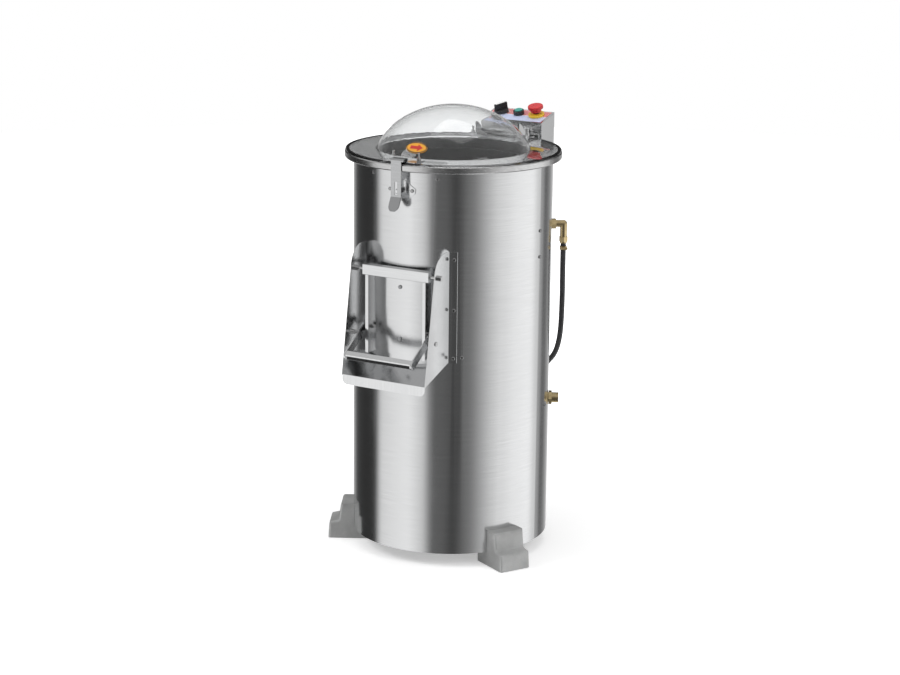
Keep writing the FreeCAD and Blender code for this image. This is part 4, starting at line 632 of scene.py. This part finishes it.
def make_timer_scale():
    """Plain tick marks round the timer, and a pale strip over the top of its grip as a painted
    highlight.
    """
    ticks = []
    first_angle, sweep, steps, long_every = 60, 300, 10, 5
    near, short_far, long_far = 0.0222, 0.0245, 0.0258
    half = 0.00045
    tick_film, tick_clearance = 0.00012, 0.00002
    for k in range(steps + 1):
        angle = math.radians(first_angle + sweep * k / steps)
        far = short_far if k % long_every else long_far
        along = Vector((math.sin(angle), -math.cos(angle)))
        side = Vector((along.y, -along.x)) * half
        corners = [along * near - side, along * far - side, along * far + side, along * near + side]
        ticks.append([(corner.x, corner.y) for corner in corners])
    bm = flat_shapes(ticks, tick_film)
    on_panel(bm, timer_column, panel_skin + tick_clearance)
    piece("timer_ticks", bm, materials["white"], "cabinet")
    # Pale strip over the whole top of the grip: a painted highlight
    swing = math.radians(-30)
    half_width, half_length = 0.0032, 0.0155
    grip_top = 0.027
    grip_highlight_thickness, grip_highlight_rounding = 0.0005, 0.0004
    corners = (
        (-half_width, -half_length), (half_width, -half_length),
        (half_width, half_length), (-half_width, half_length),
    )
    cosine, sine = math.cos(swing), math.sin(swing)
    outline = [(x * cosine - y * sine, x * sine + y * cosine) for x, y in corners]
    bm = flat_shapes([outline], grip_highlight_thickness)
    on_panel(bm, timer_column, panel_skin + grip_top)
    grip_highlight = piece("timer_grip_highlight", bm, materials["white"], "timer_knob")
    soften(grip_highlight, grip_highlight_rounding)


# Hose
hose_diameter = 13.8 * mm
hose_route = [
    (228.95, 166.34, 775.7),
    (228.95, 166.34, 740.0),
    (228.95, 166.34, 702.0),
    (228.0, 169.3, 626.0),
    (221.3, 178.0, 548.0),
    (207.0, 193.0, 501.0),
    (183.4, 215.5, 465.0),
    (151.9, 239.4, 437.0),
    (125.6, 260.3, 409.9),
    (97.5, 267.4, 380.9),
]


def make_hose():
    """The black water hose between the two brass elbows."""
    curve = bpy.data.curves.new("hose", "CURVE")
    curve.dimensions = "3D"
    spline = curve.splines.new("NURBS")
    spline.points.add(len(hose_route) - 1)
    for point, place_mm in zip(spline.points, hose_route):
        point.co = (*(value * mm for value in place_mm), 1.0)
    spline.order_u = 3
    spline.use_endpoint_u = True
    spline.resolution_u = 16
    curve.bevel_depth = hose_diameter / 2
    curve.bevel_resolution = 6
    curve.use_fill_caps = True
    curve.materials.append(materials["rubber"])
    hose = bpy.data.objects.new("hose", curve)
    bpy.context.scene.collection.objects.link(hose)
    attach(hose, "cabinet")
    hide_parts("water_hose")


# Studio
def lamp(name, location, target, size, power):
    """A soft white area lamp that looks at target."""
    light = bpy.data.lights.new(name, "AREA")
    light.shape = "RECTANGLE"
    light.size, light.size_y = size
    light.energy = power
    made = bpy.data.objects.new(name, light)
    bpy.context.scene.collection.objects.link(made)
    made.location = location
    way = Vector(target) - Vector(location)
    made.rotation_euler = way.to_track_quat("-Z", "Y").to_euler()
    made.visible_glossy = False


# Brightness round the studio: angle from the front towards +X, and level
low_panels = (
    (-180.0, 0.3),
    (-152.0, 0.9),
    (-135.0, 0.5),
    (-116.0, 0.08),
    (-100.0, 0.04),
    (-70.0, 0.03),
    (-60.0, 0.85),
    (-20.0, 1.05),
    (-2.0, 0.75),
    (8.0, 0.12),
    (20.0, 0.14),
    (34.0, 0.05),
    (56.0, 0.26),
    (82.0, 0.8),
    (108.0, 1.05),
    (136.0, 1.15),
    (152.0, 0.6),
    (164.0, 0.1),
    (180.0, 0.3),
)
high_panels = (
    (-180.0, 0.06),
    (-130.0, 0.05),
    (-95.0, 0.06),
    (-62.0, 0.5),
    (-20.0, 0.6),
    (0.0, 0.4),
    (30.0, 0.16),
    (70.0, 0.45),
    (110.0, 0.5),
    (140.0, 0.15),
    (180.0, 0.06),
)
ceiling_level = 0.55
ceiling = (ceiling_level, ceiling_level, ceiling_level)
low_to_high = (-0.05, 0.1)
high_to_ceiling = (0.35, 0.6)
white = (1.0, 1.0, 1.0)


def panel_ramp(tree, turn, panels):
    """The levels of a row of panels round the room."""
    return ramp(tree, turn, [((degrees + 180.0) / 360.0, level) for degrees, level in panels])


def make_world():
    """A white background; metal sees the pale and the dark panels round the room."""
    world = bpy.data.worlds.new("studio")
    bpy.context.scene.world = world
    world.use_nodes = True
    tree = world.node_tree
    background = tree.nodes["Background"]
    coordinates = tree.nodes.new("ShaderNodeTexCoord")
    split = tree.nodes.new("ShaderNodeSeparateXYZ")
    link(tree, coordinates.outputs["Generated"], split.inputs["Vector"])
    front = math_node(tree, "MULTIPLY", split.outputs["Y"], -1.0)
    angle = math_node(tree, "ARCTAN2", split.outputs["X"], front)
    turn = math_node(tree, "ADD", math_node(tree, "DIVIDE", angle, 2 * math.pi), 0.5)
    height = split.outputs["Z"]
    low = panel_ramp(tree, turn, low_panels)
    high = panel_ramp(tree, turn, high_panels)
    walls = mixed(tree, rise(tree, height, *low_to_high), low, high)
    room = mixed(tree, rise(tree, height, *high_to_ceiling), walls, ceiling)
    path = tree.nodes.new("ShaderNodeLightPath")
    seen = math_node(
        tree, "MAXIMUM", path.outputs["Is Camera Ray"], path.outputs["Is Transmission Ray"]
    )
    link(tree, mixed(tree, seen, room, white), background.inputs["Color"])


# Floor: its glow grows from the middle outwards, by the square of the distance
floor_radius = 7.0
glow_start = 0.2
glow_end = 3.0
glow_least = 0.4
glow_gain = 0.7
floor_gap = 0.0005


def make_floor():
    """A pale round floor, brighter with distance until it meets the white background."""
    bm = bmesh.new()
    bmesh.ops.create_circle(bm, cap_ends=True, radius=floor_radius, segments=96)
    mesh = bpy.data.meshes.new("floor")
    bm.to_mesh(mesh)
    bm.free()
    material, tree, shader = blank_material("floor_white")
    speck = noise(tree, place(tree), 3.0, 2.0)
    link(tree, ramp(tree, speck, [(0.3, 0.9), (0.7, 0.93)]), shader.inputs["Base Color"])
    shader.inputs["Roughness"].default_value = 0.9
    shader.inputs["Specular IOR Level"].default_value = 0.1
    glow = tree.nodes.new("ShaderNodeEmission")
    glow.inputs["Color"].default_value = (1.0, 1.0, 1.0, 1.0)
    path = tree.nodes.new("ShaderNodeLightPath")
    mirrored = math_node(
        tree, "MAXIMUM", path.outputs["Is Glossy Ray"], path.outputs["Is Transmission Ray"]
    )
    seen = math_node(tree, "MAXIMUM", path.outputs["Is Camera Ray"], mirrored)
    split = tree.nodes.new("ShaderNodeSeparateXYZ")
    link(tree, place(tree), split.inputs["Vector"])
    across = math_node(
        tree, "ADD", math_node(tree, "POWER", split.outputs["X"], 2.0),
        math_node(tree, "POWER", split.outputs["Y"], 2.0),
    )
    gain = math_node(tree, "MULTIPLY", rise(tree, across, glow_start, glow_end), glow_gain)
    level = math_node(tree, "ADD", gain, glow_least)
    link(tree, math_node(tree, "MULTIPLY", seen, level), glow.inputs["Strength"])
    both = tree.nodes.new("ShaderNodeAddShader")
    link(tree, shader.outputs["BSDF"], both.inputs[0])
    link(tree, glow.outputs["Emission"], both.inputs[1])
    link(tree, both.outputs["Shader"], tree.nodes["Material Output"].inputs["Surface"])
    mesh.materials.append(material)
    floor = bpy.data.objects.new("floor", mesh)
    bpy.context.scene.collection.objects.link(floor)
    floor.location = (0.0, 0.0, -floor_gap)
    floor.visible_glossy = False


def make_camera():
    """The camera at the photograph's angle."""
    distance = 5.7299
    azimuth = math.radians(30.17)
    height = 1.9593
    pitch = math.radians(13.992)
    roll = math.radians(0.586)
    yaw = math.radians(-0.041)
    focal = 92.364
    data = bpy.data.cameras.new("camera")
    data.sensor_width = 36.0
    data.lens = focal
    camera = bpy.data.objects.new("camera", data)
    bpy.context.scene.collection.objects.link(camera)
    camera.location = (distance * math.sin(azimuth), -distance * math.cos(azimuth), height)
    facing = azimuth - yaw
    level_share = math.cos(pitch)
    forward = Vector(
        (-math.sin(facing) * level_share, math.cos(facing) * level_share, -math.sin(pitch))
    )
    side = Vector((math.cos(facing), math.sin(facing), 0.0))
    up = side.cross(forward)
    right = side * math.cos(roll) + up * math.sin(roll)
    top = right.cross(forward)
    rotation = Matrix((right, top, -forward)).transposed()
    camera.rotation_euler = rotation.to_euler()
    bpy.context.scene.camera = camera


make_camera()
make_hose()
dress_nodes()
make_badge_prints()
make_box_strip()
make_timer_scale()
make_world()
make_floor()
lamp("key", (-2.6, -2.4, 3.2), (0.0, 0.0, 0.7), (1.6, 1.6), 55.0)
lamp("fill", (3.4, -1.0, 2.4), (0.0, 0.0, 0.6), (1.4, 1.8), 30.0)
lamp("top", (0.0, 0.3, 3.6), (0.0, 0.0, 1.0), (2.0, 2.0), 30.0)

bpy.context.scene.view_settings.view_transform = "Standard"
